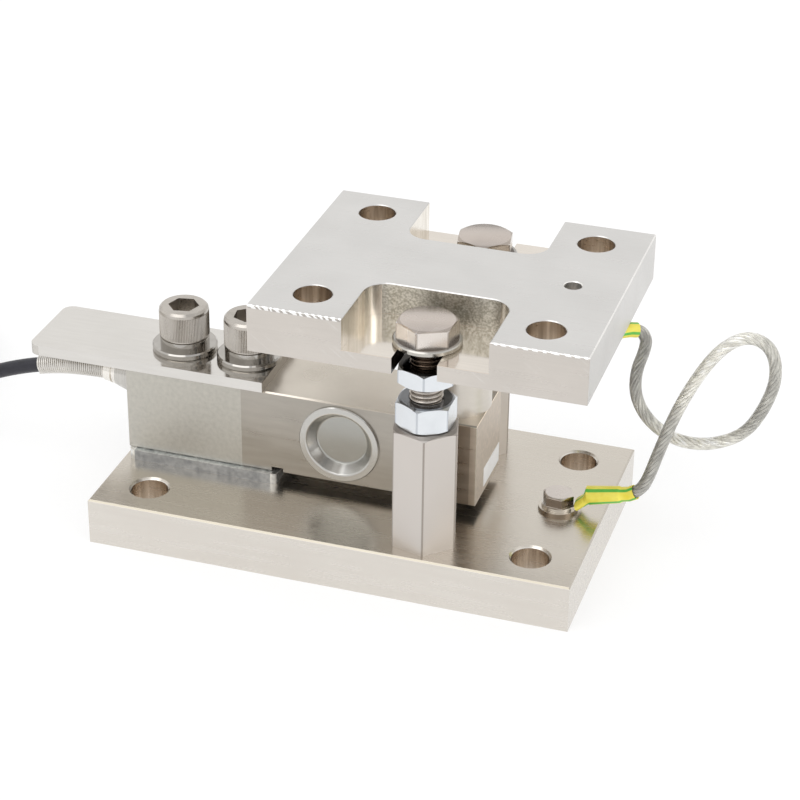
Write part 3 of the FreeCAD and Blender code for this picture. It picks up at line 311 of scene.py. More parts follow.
def spotted(tree, colour, spots):
    """A colour with spots, each a shade that dyes it within some limits."""
    for shade, limits in spots:
        colour = dye(tree, inside(tree, **limits), colour, shade)
    return colour


print("place helpers ready")

# %% [markdown]
# ## Worked metal
# Most metal here was ground, drawn, turned or plated, and differs only in tone, gloss and the way of its
# grain. One helper makes all of these. A CAD node keeps its mesh, and the finish goes into its material
# slot.

# %% Worked metal
METAL = {"Metallic": 1.0}
MATT = 0.7


def give(finish, *pieces):
    """Put a finish in the material slot of CAD nodes."""
    for piece in pieces:
        nodes[piece].material_slots[0].material = finish


def hole_wall(tree):
    """The brown wall of a drilled hole, with upright bands."""
    bands = noise(tree, (1.6, 1.6, 30.0), detail=2.0)
    return graded(tree, bands, (0.50, 0.42, 0.34), (0.86, 0.77, 0.67))


def worked_metal(name, light, dark, gloss, grain, depth=0.02 * MM, clouds=22.0, spots=(), matt=None,
                 holes=None, pieces=()):
    """Metal with streaks along its grain over broad faint clouds, in colour and in gloss, on CAD pieces.

    It has spots of other shades. Some limits may leave it matt, and others hold the walls of drilled holes.
    """
    material, tree = new_finish(name, METAL)
    streaks = noise(tree, grain, detail=5.0)
    patches = noise(tree, clouds, detail=4.0)
    colour = spotted(tree, graded(tree, between(tree, 0.5, streaks, patches), dark, light), spots)
    if holes:
        colour = tint(tree, inside(tree, **holes), colour, hole_wall(tree))
    roughness = fit(tree, streaks, *gloss)
    if matt:
        roughness = between(tree, inside(tree, **matt), roughness, MATT)
    give(material, *pieces)
    return end_finish(material, colour, roughness, streaks, depth)


print("worked metal ready")

# %% [markdown]
# ## The signal cable
# A thin black cable leaves the beam through a gland, bows down to the floor and is put away as a tied coil
# beside the module. A cord is one smooth line, so it is one NURBS curve: the same listed points that the
# CAD tube follows, then the turns of the coil from a loop. Each turn keeps its radius, and steps sideways
# or down to the next layer in its own sector, so no two turns ever cross at the same height.

# %% Route of the signal cable
CABLE_THICK = 5.7 * MM
CABLE_ROUTE = (
    (-97, 0, 44.2), (-112, 0, 44.2), (-127, 0, 42.3), (-141, 0, 38.3), (-154, 0, 33), (-166, 0, 27.9),
    (-177, 0, 24.3), (-188, 0, 22.1), (-199, 0, 21.25), (-208.8, 0, 21.15),
)
COIL_CENTRE = Vector((-232, 41.15, 0)) * MM
COIL_MIDDLE = 32.6 * MM
COIL_TOP = 21.15 * MM
COIL_LAYERS = 4
COIL_TAIL = 25 * MM
POINTS_PER_TURN = 24
STEP_SPAN = 50
INWARD_STEP, OUTWARD_STEP, INNER_DROP, OUTER_DROP, COIL_END = 325, 135, 225, 45, 330


def next_at(angle, sector):
    """The first angle after the given one that lies in a sector of the coil."""
    return angle + (sector - angle - 1) % 360 + 1


def coil_changes():
    """The cable's steps to a next place, as an angle, turns inward and layers down, and the coil's end."""
    angle, changes = 0, []
    for layer in range(COIL_LAYERS):
        inward = layer % 2 == 0
        for _ in range(COIL_LAYERS - 1):
            angle = next_at(angle, INWARD_STEP if inward else OUTWARD_STEP)
            changes.append((angle, 1 if inward else -1, 0))
        if layer < COIL_LAYERS - 1:
            angle = next_at(angle, INNER_DROP if inward else OUTER_DROP)
            changes.append((angle, 0, 1))
    return changes, next_at(angle, COIL_END)


def eased(angle, change):
    """How much of a step is done at an angle, from 0 to 1, without a kink."""
    share = min(max((angle - change) / STEP_SPAN + 0.5, 0.0), 1.0)
    return share * share * (3 - 2 * share)


def coil_point(angle, changes):
    """A point of the coil's line, on turns that run clockwise from its near side."""
    inward = sum(side * eased(angle, at) for at, side, _ in changes)
    down = sum(drop * eased(angle, at) for at, _, drop in changes)
    radius = COIL_MIDDLE + CABLE_THICK * ((COIL_LAYERS - 1) / 2 - inward)
    outside = radius / math.cos(math.pi / POINTS_PER_TURN)
    turn = math.radians(-90 - angle)
    height = COIL_TOP - CABLE_THICK * down
    return COIL_CENTRE + Vector((outside * math.cos(turn), outside * math.sin(turn), height))


print(f"{len(CABLE_ROUTE)} hand-laid points, then a coil of {COIL_LAYERS} layers")

# %% Points of the signal cable
changes, coil_end = coil_changes()
steps = round(coil_end * POINTS_PER_TURN / 360)
cable_points = [Vector(point) * MM for point in CABLE_ROUTE]
cable_points += [coil_point(coil_end * step / steps, changes) for step in range(steps + 1)]
tail_turn = math.radians(-180 - coil_end)
tail_way = Vector((math.cos(tail_turn), math.sin(tail_turn), 0))
cable_points += [cable_points[-1] + tail_way * COIL_TAIL * share for share in (0.5, 1.0)]
print(f"coil of {coil_end / 360:.1f} turns, {len(cable_points)} points in the cable's line")

# %% Cord curves
CORD_ROUNDNESS = 4


def make_cord(name, points, thick, finish, smooth=6):
    """One open NURBS spline with the route's points, rounded out to the cord's thickness."""
    curve = bpy.data.curves.new(name, "CURVE")
    curve.dimensions = "3D"
    spline = curve.splines.new("NURBS")
    spline.points.add(len(points) - 1)
    for target, point in zip(spline.points, points):
        target.co = (*point, 1.0)
    spline.order_u = 3
    spline.use_endpoint_u = True
    curve.resolution_u = smooth
    curve.bevel_depth = thick / 2
    curve.bevel_resolution = CORD_ROUNDNESS
    curve.use_fill_caps = True
    curve.materials.append(finish)
    cord = new_object(name, curve)
    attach(cord, "root")
    return cord


def line_of(cord):
    """The points along a cord's spline, read from its curve with the thickness taken off."""
    bare = new_object("bare_line", cord.data.copy())
    bare.data.bevel_depth = 0.0
    bpy.context.view_layer.update()
    mesh = bpy.data.meshes.new_from_object(bare)
    points = [vertex.co.copy() for vertex in mesh.vertices]
    bpy.data.meshes.remove(mesh)
    bpy.data.curves.remove(bare.data)
    return points


def moulded(name, wave, dark, light, gloss, depth=0.0, detail=3.0, relief=None):
    """A finish that isn't metal: one grain in colour and gloss, and a relief of that grain or of another."""
    material, tree = new_finish(name)
    grain = noise(tree, wave, detail)
    height = noise(tree, relief) if relief else grain
    return end_finish(material, graded(tree, grain, dark, light), fit(tree, grain, *gloss), height, depth)


blue_black = moulded("cable_sheath", 3.0, (0.0085, 0.0085, 0.0145), (0.017, 0.017, 0.027), (0.32, 0.46),
                     depth=0.03 * MM, detail=4.0, relief=1.2)
signal_cable = make_cord("signal_cable_line", cable_points, CABLE_THICK, blue_black)
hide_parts("signal_cable", "signal_cable_coil")
cable_line = line_of(signal_cable)
print(f"cable line of {len(cable_line)} points")

# %% [markdown]
# ## The ground strap
# A strap of twisted tinned copper under a clear jacket bridges the two plates, so that current never flows
# through the beam. It leaves a lug under the top plate, hangs in a loop and ends in a lug on the base
# plate. The jacket is the cord itself, a NURBS curve through the listed route. The strands inside follow
# its line.

# %% Jacket of the ground strap
STRAP_THICK = 4.4 * MM
STRAP_ROUTE = (
    (88.5, 11.8, 86.55), (91.8, 14.6, 86.5), (95.2, 17.4, 85.5), (97.6, 18.8, 81.8), (97.1, 18.4, 76.8),
    (95, 16.8, 69.6), (95.4, 14.6, 61.6), (99.6, 12.4, 54.8), (106.4, 10.6, 50.2), (114.5, 9.4, 47.8),
    (125.5, 8, 49.6), (136.8, 7, 56.6), (142.8, 6, 68.4), (146.2, 5, 81.4), (144, 4, 93),
    (136.2, 2.8, 97.4), (127.8, 1.6, 92.8), (120.4, 1, 81.4), (113.4, 0.2, 65.4), (108.2, -0.4, 48),
    (105.4, -0.4, 37.2), (103.2, -0.3, 32.1), (99.6, 0, 28.8), (95, 0, 27.8),
)
CLEAR_PLASTIC = {"Base Color": (0.96, 0.95, 0.92), "Transmission Weight": 0.85, "IOR": 1.25}


def jacket_finish():
    """Clear soft plastic with a milky haze."""
    material, tree = new_finish("clear_jacket", CLEAR_PLASTIC)
    return end_finish(material, None, fit(tree, noise(tree, 18.0), 0.05, 0.26))


strap_points = [Vector(point) * MM for point in STRAP_ROUTE]
ground_strap = make_cord("ground_strap_jacket", strap_points, STRAP_THICK, jacket_finish(), smooth=12)
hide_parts("ground_strap")
strap_line = line_of(ground_strap)
print(f"strap line of {len(strap_line)} points")

# %% [markdown]
# ## A tree for what is wound
# The rope's strands and the strain relief spring are the same shape: a line wound round another line.
# Geometry Nodes can do both with one tree. It copies the line once for each strand, moves each copy
# sideways round the line as it goes along, and gives it the thickness of a wire. A screw modifier would
# only wind round a straight axis. The tree's sizes are inputs, and its result is kept as a plain mesh.

# %% Geometry tree helpers
FLOAT, WHOLE = "NodeSocketFloat", "NodeSocketInt"


def start_tree(name, **sizes):
    """A geometry tree with a start shape, named sizes and a finish as inputs, and the inputs' sockets."""
    tree = bpy.data.node_groups.new(name, "GeometryNodeTree")
    kinds = {"Start": "NodeSocketGeometry", **sizes, "Finish": "NodeSocketMaterial"}
    for size, kind in kinds.items():
        tree.interface.new_socket(size, in_out="INPUT", socket_type=kind)
    tree.interface.new_socket("Shape", in_out="OUTPUT", socket_type="NodeSocketGeometry")
    return tree, place(tree, "NodeGroupInput").node.outputs


def end_tree(tree, shape, finish):
    """Make instances real, give them their finish and hand the shape over."""
    real = place(tree, "GeometryNodeRealizeInstances", {"Geometry": shape})
    painted = place(tree, "GeometryNodeSetMaterial", {"Geometry": real, "Material": finish})
    place(tree, "NodeGroupOutput", {"Shape": painted})
    return tree


def grow(name, tree, start, **inputs):
    """Run a tree on a start mesh and keep the result as a plain mesh that rides on the object."""
    piece = new_object(name, start)
    modifier = piece.modifiers.new("tree", "NODES")
    modifier.node_group = tree
    for item in tree.interface.items_tree:
        if item.in_out == "INPUT" and item.name in inputs:
            modifier[item.identifier] = inputs[item.name]
    plain = bpy.data.meshes.new_from_object(piece.evaluated_get(bpy.context.evaluated_depsgraph_get()))
    piece.modifiers.clear()
    piece.data = plain
    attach(piece, "root")
    print(f"{name}: {len(plain.polygons)} faces")
    return piece


def lines_mesh(*lines):
    """A mesh of lines of edges, each point of which remembers the number of its line."""
    points, edges, numbers = [], [], []
    for number, line in enumerate(lines):
        edges += [(index, index + 1) for index in range(len(points), len(points) + len(line) - 1)]
        points += line
        numbers += [number] * len(line)
    mesh = bpy.data.meshes.new("lines")
    mesh.from_pydata(points, edges, [])
    mesh.attributes.new("line", "FLOAT", "POINT").data.foreach_set("value", numbers)
    return mesh


print("geometry tree helpers ready")

# %% Winding tree
WIRE_SIDES = 10


def mark(tree, shape, name, value):
    """Leave a value on each point of a shape, as an attribute that its finish can read."""
    marked = {"Geometry": shape, "Name": name, "Value": value}
    return place(tree, "GeometryNodeStoreNamedAttribute", marked, domain="POINT")


def winding_tree():
    """Strands wound round a line."""
    tree, given = start_tree("winding", Strands=WHOLE, Lay=FLOAT, Reach=FLOAT, Wire=FLOAT, Step=FLOAT)
    line = place(tree, "GeometryNodeMeshToCurve", {"Mesh": given["Start"]})
    amount = {"Geometry": line, "Amount": given["Strands"]}
    copies = place(tree, "GeometryNodeDuplicateElements", amount, domain="SPLINE")
    fine = place(tree, "GeometryNodeResampleCurve", {"Curve": copies, "Length": given["Step"]}, mode="LENGTH")
    along = place(tree, "GeometryNodeSplineParameter", out="Length")
    strand = calc(tree, "DIVIDE", copies.node.outputs["Duplicate Index"], given["Strands"])
    turns = calc(tree, "ADD", calc(tree, "DIVIDE", along, given["Lay"]), strand)
    angle = calc(tree, "MULTIPLY", turns, 2 * math.pi)
    normal = place(tree, "GeometryNodeInputNormal")
    tangent = place(tree, "GeometryNodeInputTangent")
    side = place(tree, "ShaderNodeVectorMath", {0: tangent, 1: normal}, operation="CROSS_PRODUCT")
    parts = []
    for way, wave in ((normal, "COSINE"), (side, "SINE")):
        reach = calc(tree, "MULTIPLY", calc(tree, wave, angle), given["Reach"])
        parts.append(place(tree, "ShaderNodeVectorMath", {0: way, "Scale": reach}, operation="SCALE"))
    offset = place(tree, "ShaderNodeVectorMath", dict(enumerate(parts)), operation="ADD")
    wound = place(tree, "GeometryNodeSetPosition", {"Geometry": fine, "Offset": offset})
    wound = mark(tree, mark(tree, wound, "along", along), "strand", strand)
    ring = {"Resolution": WIRE_SIDES, "Radius": given["Wire"]}
    wire = place(tree, "GeometryNodeCurvePrimitiveCircle", ring)
    wire = mark(tree, wire, "around", place(tree, "GeometryNodeSplineParameter", out="Factor"))
    tube = place(tree, "GeometryNodeCurveToMesh", {"Curve": wound, "Profile Curve": wire, "Fill Caps": True})
    smooth = place(tree, "GeometryNodeSetShadeSmooth", {"Geometry": tube})
    return end_tree(tree, smooth, given["Finish"])


winding = winding_tree()
print(f"winding tree of {len(winding.nodes)} nodes")

# %% [markdown]
# ## Strands of the strap and winding of the spring
# Seven strands lie round the strap's middle, and each strand is itself a bundle of hair-thin tinned wires.
# The wires are too fine to model, so the strand's finish draws them: the tree leaves the distance along and
# round each strand on the mesh as attributes, and a noise stretched along the strand makes the fine lines.

# %% Finish of the strands
STRAP_LENGTH = 0.213
# Painted light along the strap: stretches in shade are darker, and lit stretches get painted highlights above
# 1.
STRAND_PAINTED_LIGHT = (
    (0.0, 0.6), (0.08, 0.42), (0.15, 0.45), (0.21, 0.72), (0.26, 1.12), (0.37, 1.12), (0.43, 0.62),
    (0.54, 0.6), (0.61, 0.74), (0.67, 1.12), (0.8, 1.08), (0.88, 0.6), (1.0, 0.5),
)
PAINTED_LIGHT_WARMTH = 0.98
WIRE_LINES = {"along": 90.0, "around": 14.0}
FLECKS = {"along": 230.0, "strand": 50.0}


def attribute(tree, name, out="Fac"):
    """What a tree or a script left on the points of a piece."""
    return place(tree, "ShaderNodeAttribute", out=out, attribute_name=name)


def strand_noise(tree, waves, detail):
    """Noise on a strand's own coordinates, with a number of waves for each."""
    steps = [calc(tree, "MULTIPLY", attribute(tree, name), count) for name, count in waves.items()]
    where = place(tree, "ShaderNodeCombineXYZ", dict(zip("XY", steps)))
    return place(tree, "ShaderNodeTexNoise", {"Vector": where, "Scale": 1.0, "Detail": detail})


def strand_finish():
    """Tinned copper strand with flecks, painted shade and painted highlights in stretches along it, and the
    fine lines of its wires along it.
    """
    material, tree = new_finish("tinned_strand", METAL)
    lines = strand_noise(tree, WIRE_LINES, detail=2.0)
    colour = graded(tree, lines, (0.72, 0.71, 0.68), (0.99, 0.98, 0.95))
    flecks = strand_noise(tree, FLECKS, detail=1.0)
    colour = dye(tree, 1.0, colour, graded(tree, flecks, (0.66, 0.65, 0.63), (1.28, 1.28, 1.27)))
    # Painted shade and painted highlights, as a ramp along the strap's length.
    stops = [(share, (grey, grey, PAINTED_LIGHT_WARMTH * grey)) for share, grey in STRAND_PAINTED_LIGHT]
    way_along = calc(tree, "DIVIDE", attribute(tree, "along"), STRAP_LENGTH)
    colour = dye(tree, 1.0, colour, ramp(tree, way_along, stops))
    return end_finish(material, colour, fit(tree, lines, 0.4, 0.2), lines, 0.07 * MM)


tinned = strand_finish()
print(f"strand finish of {len(tinned.node_tree.nodes)} nodes")

# %% Strands and spring
ROPE = {"Strands": 7, "Lay": 20 * MM, "Reach": 1.14 * MM, "Wire": 0.74 * MM, "Step": 0.7 * MM}
SPRING_START = 6.5 * MM
SPRING_LENGTH = 27.5 * MM
SPRING_PITCH = 0.85 * MM
STEPS_PER_PITCH = 20
SPRING = {"Strands": 1, "Lay": SPRING_PITCH, "Reach": 3.28 * MM, "Wire": 0.42 * MM}


def stretch(points, start, length):
    """The part of a line from a distance along it, for a length."""
    kept, done = [], 0.0
    for first, second in zip(points, points[1:]):
        run = (second - first).length
        for limit in (start, start + length):
            if done <= limit < done + run:
                kept.append(first.lerp(second, (limit - done) / run))
        done += run
        if start < done < start + length:
            kept.append(second)
    return kept


spring_metal = worked_metal("spring_wire", light=(0.80, 0.775, 0.735), dark=(0.60, 0.58, 0.55),
                            gloss=(0.24, 0.4), grain=2.0)
strands = grow("ground_strap_strands", winding, lines_mesh(strap_line), Finish=tinned, **ROPE)
spring_line = stretch(cable_line, SPRING_START, SPRING_LENGTH)
spring = grow("relief_spring_winding", winding, lines_mesh(spring_line), Finish=spring_metal,
              Step=SPRING_PITCH / STEPS_PER_PITCH, **SPRING)
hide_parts("strain_relief_spring")

# %% [markdown]
# ## The cable's bare end
# At the far end the sheath is cut back, and four cores fan out, each in its own colour, with a tinned tip.
# A core is a wire wound round nothing: the winding tree with one strand and no reach gives a plain round
# tube. Seven finer strands give the twisted tip. The line's number, which the tree carries along, picks the
# colour.

# %% Cores and tips
CORE_FANS = (-12, -4, 4, 12)
CORE_DROOP = math.radians(6)
CORE_THICK = 1.3 * MM
CORE_SPREAD = 0.55
CORE_GAP = 0.2 * MM
CORE_INSULATED, CORE_TIP_START, CORE_END = 16 * MM, 15.4 * MM, 22 * MM
CORE_COLOURS = (
    (0.0, (0.5, 0.02, 0.015)), (0.2, (0.012, 0.012, 0.012)), (0.45, (0.02, 0.24, 0.05)),
    (0.7, (0.82, 0.81, 0.77)),
)
CORE = {"Strands": 1, "Lay": CORE_END, "Reach": 0.0, "Wire": CORE_THICK / 2, "Step": 2 * MM}
TIP = {"Strands": 7, "Lay": 6 * MM, "Reach": 0.27 * MM, "Wire": 0.13 * MM, "Step": 0.3 * MM}


def core_finish():
    """Smooth core insulation in four colours, one for each line, with slight smudges."""
    material, tree = new_finish("core_insulation")
    number = calc(tree, "DIVIDE", attribute(tree, "line"), len(CORE_COLOURS))
    clean = ramp(tree, number, CORE_COLOURS, "CONSTANT")
    smudge = noise(tree, 2.0)
    colour = tint(tree, fit(tree, smudge, 0.0, 0.12), clean, (0.2, 0.19, 0.18))
    return end_finish(material, colour, fit(tree, smudge, 0.3, 0.5))


def core_runs(start, end):
    """A straight stretch of each core, between two distances from the sheath's end, as a mesh of lines."""
    runs = []
    for index, fan in enumerate(CORE_FANS):
        fanned = Matrix.Rotation(math.radians(fan), 3, "Z") @ tail_way
        way = fanned * math.cos(CORE_DROOP) - UP * math.sin(CORE_DROOP)
        offset = CORE_THICK * CORE_SPREAD * (2 * index - len(CORE_FANS) + 1)
        foot = cable_line[-1] + tail_way * CORE_GAP + UP.cross(tail_way) * offset
        runs.append([foot + way * start, foot + way * end])
    return lines_mesh(*runs)


cores = grow("cable_core_insulation", winding, core_runs(0, CORE_INSULATED), Finish=core_finish(), **CORE)
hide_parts("cable_cores")
tips = grow("cable_core_tips", winding, core_runs(CORE_TIP_START, CORE_END), Finish=tinned, **TIP)

# %% [markdown]
# ## Heads of the coil ties
# A nylon tie closes in a small square head, and its cut end stands out of the far side. A head is three
# blocks with rounded edges, so a few lines of mesh code set them at the turn of each tie. The straps
# themselves are CAD nodes.

# %% Tie heads
TIE_TURNS = (75, 195)
TIE_STRAP = Vector((11, 4, 1)) * MM
TIE_HEAD = Vector((5.6, 6.2, 3.4)) * MM
TIE_TONGUE = Vector((3.0, 2.6, 4.4)) * MM
TONGUE_SHIFT = 0.4 * MM
TIE_ROUND = 0.35 * MM
TIE_SUNK = 0.3 * MM


def mesh_piece(name, shape):
    """A new piece from a shape in mesh code, riding on the object."""
    mesh = bpy.data.meshes.new(name)
    shape.to_mesh(mesh)
    shape.free()
    piece = new_object(name, mesh)
    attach(piece, "root")
    return piece


def make_tie_heads(name, top, finish):
    """Two tie heads on the coil's top: the head, the tongue in it and the cut end of the strap."""
    blocks = ((TIE_HEAD, 0.0, TIE_HEAD.z / 2), (TIE_TONGUE, TONGUE_SHIFT, TIE_TONGUE.z / 2),
              (TIE_STRAP, TIE_STRAP.x / 2, TIE_HEAD.z / 2))
    shape = bmesh.new()
    for turn in TIE_TURNS:
        spot = Matrix.Translation(COIL_CENTRE + UP * top) @ Matrix.Rotation(math.radians(turn), 4, "Z")
        for size, reach, lift in blocks:
            block = spot @ Matrix.Translation((COIL_MIDDLE + reach, 0, lift)) @ Matrix.Diagonal((*size, 1))
            bmesh.ops.create_cube(shape, size=1.0, matrix=block)
    bmesh.ops.bevel(shape, geom=shape.edges[:], offset=TIE_ROUND, segments=2, affect="EDGES", profile=0.5)
    piece = mesh_piece(name, shape)
    piece.data.materials.append(finish)
    return piece


tie_nylon = moulded("tie_nylon", 0.7, (0.012, 0.012, 0.012), (0.03, 0.03, 0.03), (0.42, 0.58), 0.03 * MM)
give(tie_nylon, "coil_ties")
tie_heads = make_tie_heads("coil_tie_heads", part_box("coil_ties")[1].z - TIE_SUNK, tie_nylon)
print(f"tie heads of {len(tie_heads.data.polygons)} faces")

# %% [markdown]
# ## Threads of the hold-down bolts
# Between the two nuts a few turns of rolled thread show. A thread is a ridge that climbs one pitch in each
# turn, so on a fine cylinder each point's radius follows from its height and its angle. The tree moves the
# points of such a cylinder in and out by that rule, and sets one on each bolt. The heads are cut from the
# CAD bolts.

# %% Thread tree
BOLT_RADIUS = 6 * MM
THREAD_PITCH = 1.75 * MM
THREAD_DEPTH = 1.0 * MM
THREAD_SIDES = 40
ROWS_PER_PITCH = 8


def thread_tree():
    """A rod with a helical ridge, on each start point."""
    tree, given = start_tree("rolled_thread", Length=FLOAT, Rows=WHOLE, Radius=FLOAT, Pitch=FLOAT,
                             Depth=FLOAT)
    sizes = {"Vertices": THREAD_SIDES, "Side Segments": given["Rows"], "Radius": given["Radius"],
             "Depth": given["Length"]}
    rod = place(tree, "GeometryNodeMeshCylinder", sizes)
    where = place(tree, "GeometryNodeInputPosition")
    x, y, z = split(tree, where)
    turn = calc(tree, "DIVIDE", calc(tree, "ARCTAN2", y, x), 2 * math.pi)
    climb = calc(tree, "SUBTRACT", calc(tree, "DIVIDE", z, given["Pitch"]), turn)
    flank = calc(tree, "PINGPONG", climb, 0.5)
    groove = calc(tree, "MULTIPLY", calc(tree, "MULTIPLY", flank, 2.0), given["Depth"])
    inward = calc(tree, "SUBTRACT", 1.0, calc(tree, "DIVIDE", groove, given["Radius"]))
    scale = place(tree, "ShaderNodeCombineXYZ", {"X": inward, "Y": inward, "Z": 1.0})
    moved = place(tree, "ShaderNodeVectorMath", {0: where, 1: scale}, operation="MULTIPLY")
    cut = place(tree, "GeometryNodeSetPosition", {"Geometry": rod, "Position": moved})
    smooth = place(tree, "GeometryNodeSetShadeSmooth", {"Geometry": cut})
    rods = place(tree, "GeometryNodeInstanceOnPoints", {"Points": given["Start"], "Instance": smooth})
    return end_tree(tree, rods, given["Finish"])


def point_mesh(points):
    """A mesh of loose points."""
    mesh = bpy.data.meshes.new("points")
    mesh.from_pydata(points, [], [])
    return mesh


thread = thread_tree()
print(f"thread tree of {len(thread.nodes)} nodes")

# %% Bolt heads
HEAD_HEIGHT = 7 * MM
HEAD_OVERLAP = 0.2 * MM
SAME_PLACE = 1e-6
SMOOTH_ANGLE = math.radians(30)
BOLT_AXES = (33.0, 0.0, 35.0)
# Radii of the hexagons' corner lines, where painted shade goes.
HEX_CORNERS = (10.75, 11.5)
BOLT_SHADE_AND_REFLECTION = (
    # Painted shade on the corner lines and in bands at the heads' upper edge and chamfer; a cooler painted
    # reflection on the left facets.
    ((0.62, 0.6, 0.58), dict(axes=BOLT_AXES, radius=HEX_CORNERS)),
    ((0.6, 0.57, 0.54), dict(z=(104.3, 104.95))),
    ((0.77, 0.74, 0.72), dict(z=(104.95, 105.5))),
    ((0.9, 0.95, 1.02), dict(x=(21.0, 32.35), y=(-47.0, -23.0), z=(96.0, 104.3))),
)


def merged_copy(name, node, floor=None):
    """A new piece with a CAD node's mesh, its loose triangles joined, and cut off and closed at a floor."""
    shape = bmesh.new()
    shape.from_mesh(nodes[node].data)
    bmesh.ops.remove_doubles(shape, verts=shape.verts, dist=SAME_PLACE)
    if floor is not None:
        parts = shape.verts[:] + shape.edges[:] + shape.faces[:]
        cut = bmesh.ops.bisect_plane(shape, geom=parts, plane_co=UP * floor, plane_no=UP, clear_inner=True)
        rim = [part for part in cut["geom_cut"] if isinstance(part, bmesh.types.BMEdge)]
        bmesh.ops.contextual_create(shape, geom=rim)
    return mesh_piece(name, shape)


def shade_by_angle(mesh, finish):
    """Drop the normals that no longer fit the mesh, shade it smooth up to an angle and give it a finish."""
    if "custom_normal" in mesh.attributes:
        mesh.attributes.remove(mesh.attributes["custom_normal"])
    mesh.shade_smooth()
    mesh.set_sharp_from_angle(angle=SMOOTH_ANGLE)
    mesh.materials.clear()
    mesh.materials.append(finish)


bolt_steel = worked_metal("bolt_stainless", light=(0.78, 0.725, 0.68), dark=(0.68, 0.625, 0.58),
                          gloss=(0.2, 0.3), grain=(6.0, 6.0, 24.0), depth=0.005 * MM, spots=BOLT_SHADE_AND_REFLECTION)
bolt_low, bolt_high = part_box("hold_down_bolts")
shank_top = bolt_high.z - HEAD_HEIGHT
heads = merged_copy("hold_down_heads", "hold_down_bolts", shank_top - HEAD_OVERLAP)
shade_by_angle(heads.data, bolt_steel)
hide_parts("hold_down_bolts")
print(f"bolt heads of {len(heads.data.polygons)} faces")

# %% Bolt threads
THREAD_PAINTED_SHADE = (
    # Painted shade: darker in the grooves, and dark on the shank between the jack nut and the washer, in the
    # slot.
    ((0.35, 0.33, 0.31), dict(axes=BOLT_AXES, radius=(0.0, 5.4))),
    ((0.3, 0.24, 0.2), dict(z=(88.0, 99.0))),
)
thread_steel = worked_metal("rolled_thread", light=(0.62, 0.57, 0.52), dark=(0.50, 0.45, 0.40),
                            gloss=(0.2, 0.34), grain=4.0, spots=THREAD_PAINTED_SHADE)
bolt_x = (bolt_low.x + bolt_high.x) / 2
bolt_y = BOLT_AXES[2] * MM
shank = shank_top - bolt_low.z
middles = [Vector((bolt_x, y, bolt_low.z + shank / 2)) for y in (-bolt_y, bolt_y)]
threads = grow("hold_down_threads", thread, point_mesh(middles), Length=shank, Radius=BOLT_RADIUS,
               Rows=round(shank / THREAD_PITCH * ROWS_PER_PITCH), Pitch=THREAD_PITCH, Depth=THREAD_DEPTH,
               Finish=thread_steel)
print(f"bolt shank {shank / MM:.1f} mm")

# %% [markdown]
# ## Knurls on the socket screws
# The round heads of the mounting screws have fine upright ridges for the fingers. A ridge is a slim bar
# with a square section, set on edge, and a tree stands a ring of them round each head. A bump pattern would
# be lighter, but real ridges also catch the light at the head's outline.

# %% Knurl tree
KNURL_SIDES = 4
KNURL_START = 0.9 * MM
KNURL_HEIGHT = 9.2 * MM
KNURL = {"Count": 96, "Radius": 9 * MM, "Width": 0.2 * MM, "Height": KNURL_HEIGHT}
SCREW_HEAD_HEIGHT = 12 * MM
SCREW_XS = (-70.85 * MM, -45.45 * MM)


def knurl_tree():
    """A ring of upright ridges round each start point."""
    tree, given = start_tree("knurl", Count=WHOLE, Radius=FLOAT, Width=FLOAT, Height=FLOAT)
    round_head = {"Resolution": given["Count"], "Radius": given["Radius"]}
    ring = place(tree, "GeometryNodeCurvePrimitiveCircle", round_head)
    spots = place(tree, "GeometryNodeCurveToPoints", {"Curve": ring}, mode="EVALUATED")
    index = place(tree, "GeometryNodeInputIndex")
    facing = calc(tree, "MULTIPLY", calc(tree, "DIVIDE", index, given["Count"]), 2 * math.pi)
    turn = place(tree, "ShaderNodeCombineXYZ", {"Z": facing})
    slim = {"Vertices": KNURL_SIDES, "Radius": given["Width"], "Depth": given["Height"]}
    bar = place(tree, "GeometryNodeMeshCylinder", slim)
    ridges = place(tree, "GeometryNodeInstanceOnPoints", {"Points": spots, "Instance": bar, "Rotation": turn})
    rings = place(tree, "GeometryNodeInstanceOnPoints", {"Points": given["Start"], "Instance": ridges})
    return end_tree(tree, rings, given["Finish"])


screw_steel = worked_metal("screw_stainless", light=(0.58, 0.545, 0.50), dark=(0.40, 0.37, 0.335),
                           gloss=(0.2, 0.36), grain=(4.0, 4.0, 14.0), pieces=["mounting_screws"])
screw_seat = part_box("mounting_screws")[1].z - SCREW_HEAD_HEIGHT
knurl_middle = screw_seat + KNURL_START + KNURL_HEIGHT / 2
knurl_points = point_mesh([(x, 0.0, knurl_middle) for x in SCREW_XS])
knurls = grow("screw_head_knurls", knurl_tree(), knurl_points, Finish=screw_steel, **KNURL)

# %% [markdown]
# ## Striped sleeves
# Heat-shrink sleeves in yellow with green stripes cover the lugs' barrels, the usual marking of an earth
# wire. A stripe follows the sleeve round its bend, so no flat projection fits. Each point of the sleeve
# gets the direction in which it lies round the sleeve's axis, and the finish turns that into an angle and
# into stripes.

# %% Axes of the sleeves
SLEEVE_AXES = {
    "ground_sleeve_base": ((79.1, 0, 19.9), (84.5, 0, 25.5), *STRAP_ROUTE[:-4:-1]),
    "ground_sleeve_top": ((79, 3.9, 88.2), (82.8, 7, 86.6), *STRAP_ROUTE[:3]),
}
STRIPE_TURNS = {"ground_sleeve_base": math.radians(34), "ground_sleeve_top": math.radians(4)}


def nearest_on(axis, point):
    """The nearest point on a line of straight runs, and that run's direction."""
    found = []
    for first, second in zip(axis, axis[1:]):
        share = min(max(intersect_point_line(point, first, second)[1], 0.0), 1.0)
        foot = first.lerp(second, share)
        found.append(((point - foot).length, foot, (second - first).normalized()))
    return min(found, key=lambda near: near[0])[1:]


